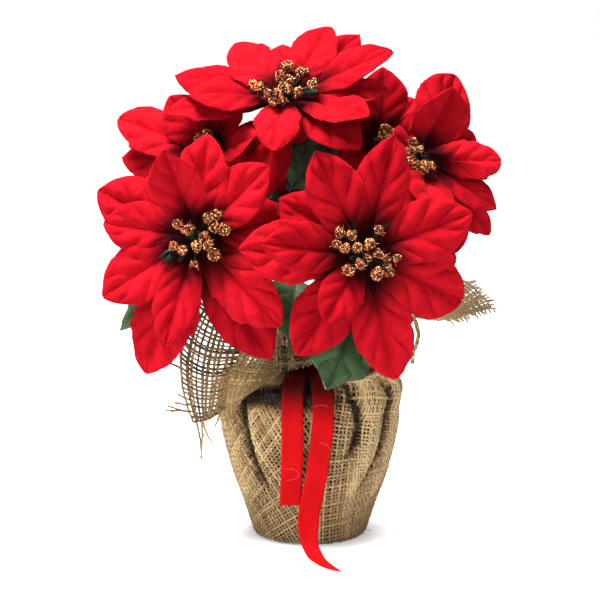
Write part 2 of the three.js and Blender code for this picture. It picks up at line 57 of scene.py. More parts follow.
# Each bloom: its centre, the compass heading and the tilt above the horizon of the way
# it faces, how far its flower heads spread, the heads themselves where they are set one by
# one, as (clock angle, spread, size, or nothing for a bud), its long buds as (clock angle,
# spread, length), its tufts of needles as (clock angle, spread) and its bracts as (clock
# angle, length, width, lift, bend, fold).
BLOOMS = {
    "top": {
        "centre": (-14, -8, 252), "heading": -95, "tilt": 56, "spread": 52,
        "buds": ((335, 66, 21), (345, 60, 14)),
        "heads": ((172, 70, 0.8), (206, 52, 0.9), (238, 50, 0.7), (259, 46, 0.8), (254, 66, 0.85),
                  (272, 60, 0.8), (270, 30, 0.9), (193, 8, 0.95), (88, 50, 0.95), (84, 68, 0.9),
                  (32, 36, 0.9), (325, 16, 0.75), (288, 38, 0.8), (309, 50, 0.95), (348, 56, 1.0),
                  (50, 64, 0.7)),
        "upper": ((187, 54, 32, 11, -8, 22), (137, 45, 31, 24, 0, 18), (63, 54, 28, 19, 0, 26),
                  (21, 66, 31, 14, 0, 26), (338, 52, 30, 5, -10, 20), (266, 46, 25, 14, -45, 18)),
        "lower": ((164, 67, 34, 4, 0, 20), (182, 69, 30, -4, -6, 20), (96, 46, 24, 9, 0, 22),
                  (52, 65, 30, 10, 0, 22), (326, 54, 32, -8, -14, 20), (10, 58, 28, 2, -6, 22),
                  (252, 62, 26, -38, -12, 20)),
    },
    "left": {
        "centre": (-62, -50, 178), "heading": -103, "tilt": 12, "spread": 52,
        "buds": ((216, 70, 20), (228, 62, 20), (246, 60, 15)),
        "heads": ((142, 30, 1.0), (135, 12, 1.0), (70, 14, 0.6), (42, 44, 1.05), (40, 70, 0.8),
                  (14, 50, 0.95), (10, 68, 1.1), (352, 30, 0.9), (216, 40, 0.9), (250, 32, 1.0),
                  (304, 28, 0.95), (332, 42, 0.95), (322, 64, 1.15), (280, 62, 0.5), (0, 10, 0)),
        "upper": ((104, 56, 29, 36, 10, 34), (82, 56, 29, 14, 0, 24), (42, 57, 30, 12, 0, 24),
                  (315, 67, 30, -3, -16, 24), (260, 64, 25, 14, -8, 26), (216, 60, 33, 9, 0, 22),
                  (174, 51, 29, 13, 0, 22)),
        "lower": ((13, 54, 30, 0, 0, 20), (302, 78, 34, -10, -6, 20), (250, 80, 35, -2, -6, 20),
                  (157, 62, 35, 4, 0, 20)),
    },
    "right": {
        "centre": (28, -62, 170), "heading": -82, "tilt": 8, "spread": 52,
        "tufts": ((115, 56), (55, 60)),
        "heads": ((140, 68, 1.0), (132, 42, 0.75), (161, 62, 0.65), (168, 42, 0.95), (150, 22, 0.9),
                  (76, 18, 1.05), (286, 8, 0.7), (354, 20, 0.85), (220, 48, 1.2), (234, 24, 0.9),
                  (294, 42, 1.15), (326, 46, 0.6), (322, 72, 1.0), (343, 38, 0.75), (350, 58, 0.7),
                  (62, 46, 0.8), (196, 30, 0)),
        "upper": ((76, 66, 29, 14, 0, 26), (117, 63, 30, 16, 0, 24), (174, 58, 27, 14, 0, 22),
                  (238, 46, 24, 21, -10, 24), (335, 62, 38, -1, -16, 22), (20, 62, 34, 11, 0, 26)),
        "lower": ((146, 54, 30, 0, 0, 20), (177, 67, 34, 2, -4, 20), (236, 65, 33, 0, -8, 20),
                  (284, 70, 32, 2, -8, 24), (356, 54, 34, -10, 0, 20)),
    },
    "far_left": {
        "centre": (-56, 6, 220), "heading": -125, "tilt": 36, "spread": 16,
        "upper": ((172, 63, 30, 21, 0, 24), (138, 42, 28, 36, 8, 30), (66, 38, 22, 20, 0, 24),
                  (4, 42, 24, 22, 0, 24), (250, 46, 26, 18, 0, 24)),
        "lower": ((186, 62, 32, 5, 0, 20), (104, 44, 26, 6, 0, 20), (30, 38, 24, 0, 0, 20)),
    },
    "far_right": {
        "centre": (62, -12, 218), "heading": -50, "tilt": 35, "spread": 52,
        "heads": ((165, 48, 0.8), (186, 42, 0.7), (182, 58, 1.0), (195, 66, 0.7), (206, 68, 0.8),
                  (222, 56, 1.0), (226, 70, 1.0), (236, 50, 0.8), (214, 74, 0.7), (210, 44, 0)),
        "upper": ((77, 47, 36, 66, 0, 34), (346, 50, 26, 14, 0, 26), (314, 52, 28, 2, 0, 24),
                  (240, 50, 36, 14, 0, 24), (160, 30, 22, 24, 0, 24)),
        "lower": ((49, 64, 36, 16, 0, 26), (312, 61, 30, -12, 0, 20), (16, 50, 26, 4, 0, 20),
                  (270, 58, 34, -4, 0, 20), (218, 57, 34, 2, 0, 20)),
    },
    "back_right": {
        "centre": (42, 34, 224), "heading": -72, "tilt": 28, "spread": 18,
        "upper": ((86, 46, 30, 22, 0, 24), (14, 42, 26, 12, 0, 24), (300, 44, 26, 16, 0, 24),
                  (226, 50, 28, 18, 0, 24), (156, 44, 26, 22, 0, 24)),
        "lower": ((112, 52, 28, 4, 0, 20), (48, 44, 26, -6, 0, 20), (330, 42, 26, -4, 0, 20),
                  (256, 42, 28, 4, 0, 20), (204, 52, 30, 2, 0, 20)),
    },
    "back": {
        "centre": (-24, 60, 192), "heading": 98, "tilt": 22, "spread": 52,
        "upper": ((90, 50, 28, 22, 0, 24), (18, 52, 28, 22, 0, 24), (306, 54, 28, 22, 0, 24),
                  (234, 54, 28, 22, 0, 24), (162, 52, 28, 22, 0, 24)),
        "lower": ((54, 58, 32, 6, -8, 20), (342, 62, 32, 6, -8, 20), (270, 62, 32, 6, -8, 20),
                  (198, 62, 32, 6, -8, 20), (126, 58, 32, 6, -8, 20)),
    },
}

# Each leaf: the bloom whose stem it grows on, how far up that stem, the two ends of its
# midrib, its width and the way its upper face looks.
LEAVES = {
    "front": ("right", 0.6, (28, -49, 142), (8.5, -62, 96), 49, (0.1, -1, 0.2)),
    "middle": ("left", 0.4, (-8, -30, 152), (-13, -46, 122), 40, (0.1, -1, 0.5)),
    "low_left": ("left", 0.72, (-58, -22, 150), (-107, -28, 124), 36, (-0.3, -0.7, 0.6)),
    "shaded": ("top", 0.7, (-10, -3, 202), (14, -6, 236), 30, (0.2, -1, 0.3)),
    "high_right": ("back_right", 0.8, (46, 60, 206), (60, 62, 246), 26, (0.2, -1, 0.1)),
    "right": ("far_right", 0.6, (46, 2, 176), (74, 14, 148), 32, (0.5, 0.1, 0.9)),
    "left": ("far_left", 0.65, (-40, 14, 186), (-80, 26, 172), 34, (-0.3, 0.1, 0.9)),
    "back_low": ("back", 0.6, (-30, 40, 152), (-60, 70, 128), 36, (-0.2, 0.6, 0.8)),
    "back_high": ("back_right", 0.55, (26, 34, 176), (52, 66, 152), 36, (0.3, 0.5, 0.8)),
}

# Leaves arch along their midrib: the middle stands a tenth of its length high.
LEAF_ARCH = 4 * math.atan(0.2)

# Flower heads spread this many degrees where they are fully open. Where they are
# scattered, each is turned by the golden angle from the one before.
FULL_SPREAD = 52
GOLDEN_ANGLE = 137.5

# Sizes that the frame's solids share, and the clearance between touching pieces.
HUB_RADIUS = 6.5
HUB_HALF = 0.9
BRACT_ROOT = 5.0
WHORL_RISE = 2.2
PIN_LENGTH = 7.4
CUP_RADIUS = 5.5
CUP_LENGTH = 8
CUP_HOLE = 3.2
SOCKET_DEPTH = 3.4
STEM_RADIUS = 1.8
STEM_BORE = 2.15
TRUNK_RADIUS = 5
TRUNK_FOOT = 14.3
TRUNK_TOP = 103
GAP = 0.3
DISC_RISE = WHORL_RISE + HUB_HALF + GAP

# What a bract or a leaf grows from: the point where it starts, its three axes, its length,
# width and seed, and its lift, its bend and the slope of its fold.
BLADE_COLUMNS = ("root", "forward", "left", "up", "size", "form")

# Side veins pressed into a blade: how many a length, and how far they sweep forward.
BRACT_VEINS = (4.0, 0.36)
LEAF_VEINS = (5.0, 0.26)

# ---------------------------------------------------------------- the wrap's layout

# The cloth from the edge of the base up the wall, over the shoulder and in to the neck:
# radius and height.
WRAP_PROFILE = (
    (28.5, 0.9), (31.6, 1.3), (33, 4), (34.6, 9), (36.8, 16), (40, 25), (43.6, 34.5),
    (46.6, 45), (49, 54.5), (50.8, 64), (51.2, 74), (50.2, 82), (47.6, 87.2), (43.6, 88.4),
    (38, 85.6), (30, 84), (22.5, 86.6), (17.8, 94), (16.4, 102), (16.2, 107),
)
WRAP_CHART_RADIUS = 47

# Ridges and creases of the gathered cloth: their course as (angle, height) points, how
# far they stand out (less than nothing for a crease) and their half width in degrees.
WRAP_FOLDS = (
    (((206, 88), (208, 66), (212, 44), (216, 24)), 1.6, 10),
    (((220, 86), (222.4, 79), (226, 66), (228, 55), (231, 43), (236, 34)), -4.5, 3.4),
    (((230, 82), (233, 64), (238, 44)), 1.4, 5),
    (((248, 88), (252, 70), (256, 44)), 1.0, 8),
    (((295, 86), (299, 83), (302, 74), (300, 62), (296, 54)), -5.0, 3.0),
    (((309, 90), (311, 80), (311, 62), (307, 44), (300, 30)), 3.0, 7),
    (((321, 92), (330, 84), (327, 74), (324.4, 63), (321, 53), (314, 43), (308, 34)), -4.8, 3.4),
    (((338, 88), (336, 68), (331, 46), (325, 26)), 2.2, 7),
    (((20, 88), (18, 60), (17, 30)), -3.0, 4),
    (((42, 88), (40, 60), (38, 30)), 2.2, 12),
    (((82, 88), (83, 60), (84, 30)), 2.4, 9),
    (((66, 88), (64, 60), (62, 30)), -3.0, 4),
    (((120, 88), (120, 60), (121, 30)), 2.2, 12),
    (((146, 88), (143, 60), (140, 30)), -3.0, 4),
    (((166, 88), (164, 60), (162, 30)), 2.0, 11),
)

# The cloth rolls over the shoulder between these distances up it, and stands out there,
# but not over the hollow: its angle, its half width and where it has died out.
DOME = (78, 100, 112, 130)
DOME_STAND = 7
HOLLOW = (252, 26, 44)

# The cloth's four quarters round the wall, as (from, to) angles. They meet under the
# ribbon, at the two sides and at the back.
WRAP_QUARTERS = ((173, 271.5), (268.5, 353), (351, 445), (443, 535))

# Yarns are this far apart.
PITCH = 2.75

# Corner flaps of the square of cloth. Each is a net of four rows of four points: the
# first point is the cloth's corner, the first row runs along one free edge and the first
# column along the other, and the last point is at the neck. Then how many yarns cross
# each way, the lengths of the fringe along the two free edges, the painted shade taken
# off the flap's yarns (less than nothing is painted light) and what share of its yarn
# ends is left.
FLAPS = {
    "front_left": (
        (((-65, -42, 74), (-60, -44, 75), (-55, -45, 77), (-47, -45, 83)),
         ((-71, -43, 100), (-61, -46, 95), (-51, -47, 95), (-41, -44, 98)),
         ((-69, -41, 121), (-59, -44, 114), (-48, -44, 112), (-36, -38, 112)),
         ((-61, -36, 140), (-52, -38, 134), (-42, -34, 128), (-30, -24, 122))),
        11, 25, (12, 24), (6, 18), 0.9, 0.5),
    "front_left_fold": (
        (((-47, -44, 75), (-42, -42, 80), (-39, -38, 86), (-36, -32, 90)),
         ((-46, -46, 92), (-40, -46, 92), (-33, -42, 93), (-27, -34, 94)),
         ((-41, -45, 108), (-33, -43, 106), (-25, -37, 104), (-17, -26, 103)),
         ((-34, -38, 124), (-24, -32, 120), (-15, -24, 114), (-8, -16, 109))),
        15, 25, (1, 4), (1, 5), 0.2, 0.8),
    "front": (
        (((-27, -30, 105), (-12, -36, 103), (0, -38, 106), (15, -33, 105)),
         ((-26, -32, 110), (-12, -40, 110), (1, -40, 112), (16, -34, 111)),
         ((-25, -30, 116), (-12, -34, 119), (2, -33, 120), (15, -31, 118)),
         ((-22, -24, 124), (-11, -28, 128), (2, -29, 127), (14, -25, 122))),
        18, 10, (2, 6), (1, 4), 1.1, 0.9),
    "right": (
        (((105, 1, 132), (98, 10, 140), (89, 18, 146), (78, 28, 145)),
         ((90, -4, 129), (84, 3, 134), (76, 12, 140), (64, 22, 138)),
         ((77, -7, 126.5), (68, -2, 131), (58, 6, 134), (48, 16, 130)),
         ((57, -7, 129), (44, -3, 127), (30, 2, 122), (16, 8, 114))),
        21, 27, (3, 5.5), (3, 5.5), -1.1, 1.0),
    "back_right": (
        (((44, 72, 110), (54, 64, 114), (60, 52, 120), (60, 36, 124)),
         ((32, 68, 112), (42, 58, 114), (48, 46, 118), (46, 30, 120)),
         ((18, 56, 116), (28, 46, 116), (34, 34, 116), (32, 20, 116)),
         ((6, 40, 118), (12, 30, 116), (14, 20, 112), (12, 10, 108))),
        15, 17, (5, 13), (5, 13), 0.0, 0.9),
    "back_left": (
        (((-36, 70, 106), (-48, 62, 110), (-56, 50, 116), (-58, 34, 122)),
         ((-24, 66, 108), (-36, 56, 112), (-42, 44, 116), (-44, 28, 118)),
         ((-12, 54, 112), (-22, 44, 114), (-28, 32, 116), (-30, 18, 114)),
         ((-4, 38, 116), (-8, 28, 114), (-12, 18, 112), (-12, 8, 108))),
        15, 17, (5, 13), (5, 13), 0.0, 0.9),
}

# Stray fibres on the wall: how many spots they stand on, how many there are, the length of
# the longest and their girth.
FUZZ = {"spots": 1200, "hairs": 1500, "longest": 4.5, "girth": 0.14}

# A strip of selvedge hangs along this line.
HANGING = ((40, -2, 128), (50, -6, 136), (58, -9, 130), (62, -10, 118), (59, -9, 106),
           (59, -9, 101))

# The ribbon's two tails: the middle of each from the knot down, how far it turns, and
# whether it reaches the floor, where it turns on edge and its end is cut aslant.
TAILS = (
    (((-6, -22, 104), (-7, -30, 99.5), (-9, -42, 97), (-10, -50.5, 91.5), (-10, -53.8, 80),
      (-10, -54.2, 60), (-11, -53, 29)), 6, False),
    (((0, -22, 104), (2, -30, 99.5), (5, -42, 97), (6.5, -51, 91.5), (7, -54.2, 80),
      (4, -54.8, 50), (-1, -54, 22), (-0.5, -55.5, 8), (3, -61, 1.7), (7, -72, 0.9),
      (12, -84, 1.1)), 14, True),
)
KNOT = (-3, -22, 104)
KNOT_RADII = (8.5, 4.4, 4.8)

# Loose fibres on the tails: the middle, the two radii, and the first and last angle of
# the arc that each lies in.
LINT = (
    ((-12, -55.4, 47), (5.5, 3.2), -100, 110),
    ((5, -56.4, 60), (6, 5), -60, 95),
    ((6, -55.6, 84), (4.5, 2), 30, 150),
)

# ---------------------------------------------------------------- the stage's layout

# Softboxes: name, the setting that gives the power, the share of it, place and width in
# metres. They all face the lit point.
LIGHTS = (
    ("top", "top", 1.0, (-0.28, -0.28, 1.15), 0.45),
    ("key", "key", 1.0, (-0.9, -0.8, 0.6), 0.4),
    ("fill", "key", 0.4, (0.9, -0.7, 0.5), 0.5),
)
LIT_POINT = (0, 0, 0.15)
FLOOR_HALF = 4

# ---------------------------------------------------------------- sizes and colours


def size(label, description, value):
    return bpy.props.FloatProperty(name=label, description=description, default=value,
                                   unit="LENGTH")


def share(label, description, value):
    return bpy.props.FloatProperty(name=label, description=description, default=value,
                                   min=0.0, max=1.0, subtype="FACTOR")


def power(label, description, value):
    return bpy.props.FloatProperty(name=label, description=description, default=value,
                                   min=0.0, unit="POWER")


def count(label, description, value):
    return bpy.props.IntProperty(name=label, description=description, default=value, min=3)


def colour(label, description, value):
    return bpy.props.FloatVectorProperty(name=label, description=description, default=value,
                                         size=3, min=0.0, max=1.0, subtype="COLOR")


class BractSettings(bpy.types.PropertyGroup):
    """Sizes and colours of the velvet bracts."""

    thickness: size("Thickness", "Thickness of the flocked cloth", 0.5 * MM)
    emboss: size("Emboss", "Depth of the pressed side veins", 2.4 * MM)
    ruffle: size("Ruffle", "How far an edge strays from the pressed shape", 3.0 * MM)
    ragged: share("Ragged", "How far the outline strays from an even one", 0.16)
    stations: count("Stations", "Points along a bract", 40)
    columns: count("Columns", "Points across a bract", 25)
    # Red and deep red are the nap painted lit and painted shaded; they are mixed in random patches
    # and by bract.
    red: colour("Red", "Nap that faces the light", (0.66, 0.007, 0.018))
    deep: colour("Deep red", "Nap that leans away", (0.40, 0.0018, 0.0085))
    # An airbrushed dark base, which also stands for painted shade near the flower heads.
    throat_airbrush_and_shade: colour("Throat", "Airbrushed base of a bract", (0.016, 0.001, 0.002))
    edge: colour("Cut edge", "Cut cloth, darker than the nap", (0.11, 0.006, 0.012))


class HeadSettings(bpy.types.PropertyGroup):
    """Sizes and colours of the beaded flower heads."""

    heads: count("Heads", "Flower heads in a bloom", 21)
    bead: size("Bead", "Diameter of a bead", 1.15 * MM)
    radius: size("Head radius", "Radius of a flower head", 2.7 * MM)
    rod: size("Stalk width", "Width of a stalk", 1.3 * MM)
    needle: size("Needle", "Width of a needle", 0.42 * MM)
    gold: colour("Gold", "Light beads", (1.0, 0.64, 0.20))
    copper: colour("Copper", "Middle beads", (0.90, 0.24, 0.10))
    bronze: colour("Bronze", "Dark beads", (0.10, 0.012, 0.012))
    stalk: colour("Stalk", "Moulded stalks and buds", (0.004, 0.010, 0.005))
    core: colour("Core", "Shade between the beads", (0.05, 0.006, 0.006))


class LeafSettings(bpy.types.PropertyGroup):
    """Sizes and colours of the cloth leaves."""

    thickness: size("Thickness", "Thickness of the leaf cloth", 0.5 * MM)
    emboss: size("Emboss", "Depth of the pressed side veins", 2.4 * MM)
    ruffle: size("Ruffle", "How far an edge strays from the pressed shape", 4.0 * MM)
    ragged: share("Ragged", "How far the outline strays from an even one", 0.08)
    stations: count("Stations", "Points along a leaf", 56)
    columns: count("Columns", "Points across a leaf", 23)
    petiole: size("Petiole", "Width of a petiole", 2 * MM)
    # Green and shade are the leaf painted lit and painted shaded; shade also darkens the veins as
    # painted shade.
    green: colour("Green", "Leaf in the light", (0.050, 0.116, 0.028))
    shade: colour("Shade", "Leaf between the veins", (0.020, 0.052, 0.013))
    edge: colour("Cut edge", "Pale edge of the cut cloth", (0.60, 0.78, 0.52))


class WrapSettings(bpy.types.PropertyGroup):
    """Sizes and colours of the burlap."""

    yarn: size("Yarn", "Width of a yarn", 1.45 * MM)
    flat: size("Yarn height", "Height of a pressed yarn", 0.84 * MM)
    crimp: size("Crimp", "How far a yarn goes over and under", 0.36 * MM)
    sides: count("Sides", "Facets round a yarn", 5)
    pale: colour("Pale jute", "Light yarns", (1.0, 0.72, 0.37))
    brown: colour("Brown jute", "Dark yarns", (0.47, 0.275, 0.105))
    # The lining's colour is painted shade: the cloth folded behind the weave, coloured dark for the
    # shade there; the jute also takes it for painted shade in creases.
    lining: colour("Lining", "Cloth folded behind the weave", (0.075, 0.042, 0.022))


class RibbonSettings(bpy.types.PropertyGroup):
    """Sizes and colours of the ribbon."""

    width: size("Width", "Width of the ribbon", 12 * MM)
    thickness: size("Thickness", "Thickness of the ribbon", 0.5 * MM)
    fibre: size("Fibre", "Width of a loose fibre", 0.22 * MM)
    red: colour("Red", "Face of the ribbon", (0.70, 0.003, 0.006))
    lint: colour("Lint", "Loose fibres on the ribbon", (0.80, 0.16, 0.15))


class PotSettings(bpy.types.PropertyGroup):
    """Colours of the pot and of the filler in it."""

    plastic: colour("Plastic", "The brown plastic pot", (0.05, 0.03, 0.02))
    filler: colour("Filler", "What was poured in round the trunk", (0.42, 0.39, 0.34))


class StageSettings(bpy.types.PropertyGroup):
    """Camera, light and floor."""

    target: bpy.props.FloatVectorProperty(
        name="Target", description="The point that the camera looks at",
        default=(-5.77 * MM, 0, 136.9 * MM), subtype="TRANSLATION", unit="LENGTH")
    distance: size("Distance", "How far the camera stands from its target", 1.0)
    rise: bpy.props.FloatProperty(
        name="Rise", description="How far above the level the camera stands",
        default=math.radians(7.5), subtype="ANGLE", unit="ROTATION")
    view: size("View", "Width of the picture at the target", 0.577 * 600 * MM)
    sky: share("Sky", "How much the white surroundings light the plant", 0.26)
    top: power("Top light", "Power of the softbox overhead", 24.0)
    key: power("Key light", "Power of the softbox in front", 3.3)
    floor: colour("Floor", "The pale floor", (0.86, 0.86, 0.86))


SETTINGS = {
    "bract": BractSettings, "head": HeadSettings, "leaf": LeafSettings,
    "wrap": WrapSettings, "ribbon": RibbonSettings, "pot": PotSettings, "stage": StageSettings,
}


def settings(kind):
    return getattr(bpy.context.scene, "poinsettia_" + kind)


# ---------------------------------------------------------------- node helpers


class Field:
    """One socket of a node tree that plain arithmetic can be done on."""

    def __init__(self, tree, socket):
        self.tree = tree
        self.socket = socket

    def math(self, operation, *others):
        """A maths node's result on this field and the others."""
        values = dict(enumerate((self, *others)))
        return make(self.tree, "ShaderNodeMath", values, operation=operation)

    __add__ = partialmethod(math, "ADD")
    __sub__ = partialmethod(math, "SUBTRACT")
    __mul__ = partialmethod(math, "MULTIPLY")
    __truediv__ = partialmethod(math, "DIVIDE")
    __pow__ = partialmethod(math, "POWER")
    __abs__ = partialmethod(math, "ABSOLUTE")

    def __rsub__(self, other):
        return self.math("MULTIPLY_ADD", -1.0, other)

    def rise(self, start, end):
        """A smooth step from 0 at start to 1 at end."""
        return make(self.tree, "ShaderNodeMapRange",
                    {"Value": self, "From Min": start, "From Max": end},
                    interpolation_type="SMOOTHSTEP")


def feed(tree, slot, value):
    """Link a field to a socket, or set the socket's value; a colour is opaque."""
    if isinstance(value, Field):
        tree.links.new(value.socket, slot)
    else:
        slot.default_value = (*value, 1.0) if slot.type == "RGBA" else value


def add(tree, kind, inputs=None, **properties):
    """Add a node, set its properties, and feed its inputs by name or by number."""
    node = tree.nodes.new(kind)
    for name, value in properties.items():
        setattr(node, name, value)
    for name, value in (inputs or {}).items():
        if isinstance(name, int):
            slot = node.inputs[name]
        else:
            slot = next(slot for slot in node.inputs if slot.enabled and slot.name == name)
        feed(tree, slot, value)
    return node


def make(tree, kind, inputs=None, output=None, **properties):
    """Add a node and return one of its outputs as a field: the first one, or a named one."""
    node = add(tree, kind, inputs, **properties)
    sockets = [socket for socket in node.outputs if socket.enabled]
    if output is None:
        return Field(tree, sockets[0])
    return Field(tree, next(socket for socket in sockets if socket.name == output))


def combine(x, y, z):
    return make(x.tree, "ShaderNodeCombineXYZ", {"X": x, "Y": y, "Z": z})


def separate(vector):
    node = add(vector.tree, "ShaderNodeSeparateXYZ", {0: vector})
    return [Field(vector.tree, socket) for socket in node.outputs]


def scaled(vector, amount):
    return make(vector.tree, "ShaderNodeVectorMath", {"Vector": vector, "Scale": amount},
                operation="SCALE")


def summed(total, *vectors):
    for vector in vectors:
        total = make(total.tree, "ShaderNodeVectorMath", {0: total, 1: vector}, operation="ADD")
    return total


def noise(vector, scale=1.0, detail=2.0):
    return make(vector.tree, "ShaderNodeTexNoise",
                {"Vector": vector, "Scale": scale, "Detail": detail})


def start_tree(name, sockets):
    """A new modifier tree and its inputs by name."""
    tree = bpy.data.node_groups.new(name, "GeometryNodeTree")
    tree.is_modifier = True
    tree.interface.new_socket("Geometry", in_out="OUTPUT", socket_type="NodeSocketGeometry")
    tree.interface.new_socket("Geometry", in_out="INPUT", socket_type="NodeSocketGeometry")
    for label, kind in sockets:
        tree.interface.new_socket(label, in_out="INPUT", socket_type="NodeSocket" + kind)
    entry = tree.nodes.new("NodeGroupInput")
    return tree, {socket.name: Field(tree, socket) for socket in entry.outputs}


def finish_tree(geometry, material, cut=None, edge=None):
    """End a tree in smooth shading, real geometry and its materials."""
    tree = geometry.tree
    geometry = make(tree, "GeometryNodeSetShadeSmooth", {"Geometry": geometry})
    geometry = make(tree, "GeometryNodeRealizeInstances", {"Geometry": geometry})
    geometry = make(tree, "GeometryNodeSetMaterial", {"Geometry": geometry, "Material": material})
    if cut is not None:
        geometry = make(tree, "GeometryNodeSetMaterial",
                        {"Geometry": geometry, "Selection": cut, "Material": edge})
    feed(tree, tree.nodes.new("NodeGroupOutput").inputs[0], geometry)


def named(tree, name, kind="FLOAT"):
    return make(tree, "GeometryNodeInputNamedAttribute", {"Name": name}, data_type=kind)


def store(geometry, name, value, kind="FLOAT", domain="POINT"):
    return make(geometry.tree, "GeometryNodeStoreNamedAttribute",
                {"Geometry": geometry, "Name": name, "Value": value}, data_type=kind, domain=domain)


def join(*geometries):
    tree = geometries[0].tree
    node = tree.nodes.new("GeometryNodeJoinGeometry")
    for geometry in geometries:
        feed(tree, node.inputs[0], geometry)
    return Field(tree, node.outputs[0])


def linked(name, data):
    """A new object in the scene."""
    item = bpy.data.objects.new(name, data)
    bpy.context.scene.collection.objects.link(item)
    return item


def grow(name, mesh, tree, **inputs):
    """Run a tree on a mesh and keep the result as a plain mesh object."""
    piece = linked(name, mesh)
    modifier = piece.modifiers.new("grow", "NODES")
    modifier.node_group = tree
    for item in tree.interface.items_tree:
        if item.in_out == "INPUT" and item.name in inputs:
            modifier[item.identifier] = inputs[item.name]
    graph = bpy.context.evaluated_depsgraph_get()
    grown = bpy.data.meshes.new_from_object(
        piece.evaluated_get(graph), preserve_all_data_layers=True, depsgraph=graph)
    piece.modifiers.remove(modifier)
    piece.data = grown
    return piece


# ---------------------------------------------------------------- mesh helpers


def new_mesh(name, points, faces=(), edges=(), **attributes):
    """A mesh, and named numbers or vectors for each of its points."""
    mesh = bpy.data.meshes.new(name)
    mesh.from_pydata([tuple(point) for point in points], list(edges), list(faces))
    for label, values in attributes.items():
        values = np.asarray(values, dtype=np.float32)
        kind, key = ("FLOAT", "value") if values.ndim == 1 else ("FLOAT_VECTOR", "vector")
        mesh.attributes.new(label, kind, "POINT").data.foreach_set(key, values.ravel())
    mesh.update()
    return mesh


def blade_roots(rows):
    """A mesh of one point a blade, which holds a row of vectors for it."""
    columns = dict(zip(BLADE_COLUMNS, zip(*rows)))
    return new_mesh("roots", columns["root"], **columns)


def grid_faces(rows, columns, ring=True):
    """Faces of a grid of points that lie row by row; each row may close to a ring."""
    faces = []
    for i in range(rows - 1):
        for k in range(columns if ring else columns - 1):
            a, b = i * columns + k, i * columns + (k + 1) % columns
            faces.append((a, b, b + columns, a + columns))
    return faces


def shell_faces(rows, columns, ring=True):
    """Faces of a thin closed shell: an outer grid, the inner one after it, and the rims."""
    half = rows * columns
    faces = []
    for a, b, c, d in grid_faces(rows, columns, ring):
        faces += [(a, b, c, d), (a + half, d + half, c + half, b + half)]
    last = half - columns
    steps = [(k, (k + 1) % columns) for k in range(columns if ring else columns - 1)]
    rims = [(b, a) for a, b in steps] + [(last + a, last + b) for a, b in steps]
    if not ring:
        for first in range(0, last, columns):
            rims += [(first, first + columns), (first + 2 * columns - 1, first + columns - 1)]
    return faces + [(a, b, b + half, a + half) for a, b in rims]


def new_piece(name, mesh, material):
    piece = linked(name, mesh)
    mesh.materials.append(material)
    mesh.shade_smooth()
    return piece


def joined(name, pieces):
    """Join pieces into the first one, under a new name."""
    with bpy.context.temp_override(active_object=pieces[0], selected_editable_objects=pieces,
                                   object=pieces[0], selected_objects=pieces):
        bpy.ops.object.join()
    pieces[0].name = name
    pieces[0].data.name = name
    return pieces[0]


def register_piece(piece, slot, *nodes):
    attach(piece, "root")
    if nodes:
        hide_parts(*nodes)


def smooth_path(points, number):
    """Points at even steps along a smooth curve through the given ones."""
    points = np.array(points, dtype=float)
    ends = [2 * points[0] - points[1], *points, 2 * points[-1] - points[-2]]
    dense = []
    for p0, p1, p2, p3 in zip(ends, ends[1:], ends[2:], ends[3:]):
        spans = ((p0, p1), (p1, p2), (p2, p3))
        d0, d1, d2 = (np.linalg.norm(b - a) ** 0.5 or 1e-4 for a, b in spans)
        t1 = ((p1 - p0) / d0 - (p2 - p0) / (d0 + d1) + (p2 - p1) / d1) * d1
        t2 = ((p2 - p1) / d1 - (p3 - p1) / (d1 + d2) + (p3 - p2) / d2) * d1
        for t in np.linspace(0, 1, 24, endpoint=False):
            dense.append(p1 + t1 * t + (3 * (p2 - p1) - 2 * t1 - t2) * t * t
                         + (2 * (p1 - p2) + t1 + t2) * t ** 3)
    dense.append(points[-1])
    dense = np.array(dense)
    lengths = np.concatenate([[0], np.cumsum(np.linalg.norm(np.diff(dense, axis=0), axis=1))])
    steps = np.linspace(0, lengths[-1], number)
    return np.stack([np.interp(steps, lengths, dense[:, k]) for k in range(dense.shape[1])], axis=1)


def lathe(name, profile, sides, place, material):
    """A closed turned shape: its profile of (radius, height) starts and ends on the axis
    or closes on itself."""
    turns = [2 * math.pi * k / sides for k in range(sides)]
    points = [place @ (Vector((radius * math.cos(turn), radius * math.sin(turn), height)) * MM)
              for radius, height in profile for turn in turns]
    mesh = new_mesh(name, points, grid_faces(len(profile), sides))
    weld(mesh)
    return new_piece(name, mesh, material)


def weld(mesh):
    """Merge doubled points and turn every face outwards."""
    body = bmesh.new()
    body.from_mesh(mesh)
    bmesh.ops.remove_doubles(body, verts=body.verts, dist=1e-6)
    bmesh.ops.dissolve_degenerate(body, edges=body.edges, dist=1e-7)
    bmesh.ops.recalc_face_normals(body, faces=body.faces)
    body.to_mesh(mesh)
    body.free()
    mesh.update()


def bloom_frame(name):
    """The bloom's own frame: right, up and facing, at its centre."""
    bloom = BLOOMS[name]
    heading, tilt = math.radians(bloom["heading"]), math.radians(bloom["tilt"])
    flat = Vector((math.cos(heading), math.sin(heading), 0))
    facing = flat * math.cos(tilt) + UP * math.sin(tilt)
    up = flat * -math.sin(tilt) + UP * math.cos(tilt)
    right = up.cross(facing)
    turned = Matrix((right, up, facing)).transposed().to_4x4()
    return Matrix.Translation(Vector(bloom["centre"]) * MM) @ turned


def stem_path(name, number=40):
    """The middle of a bloom's branch, in millimetres, from the trunk to its cup."""
    place = bloom_frame(name)

    def behind(depth):
        return (place @ Vector((0, 0, -depth * MM))) / MM

    cup_end = HUB_HALF + CUP_LENGTH
    bend = behind(36)
    out = Vector((bend.x, bend.y, 0)).normalized()
    foot = Vector((0, 0, TRUNK_TOP - 8))
    fork = Vector((0, 0, TRUNK_TOP + 10)) + out * 6
    middle = fork.lerp(bend, 0.6)
    middle.z = fork.z + (bend.z - fork.z) * 0.62
    return smooth_path((foot, fork, middle, behind(cup_end + 9), behind(cup_end + 3),
                        behind(HUB_HALF + GAP + CUP_LENGTH - SOCKET_DEPTH + GAP)), number)


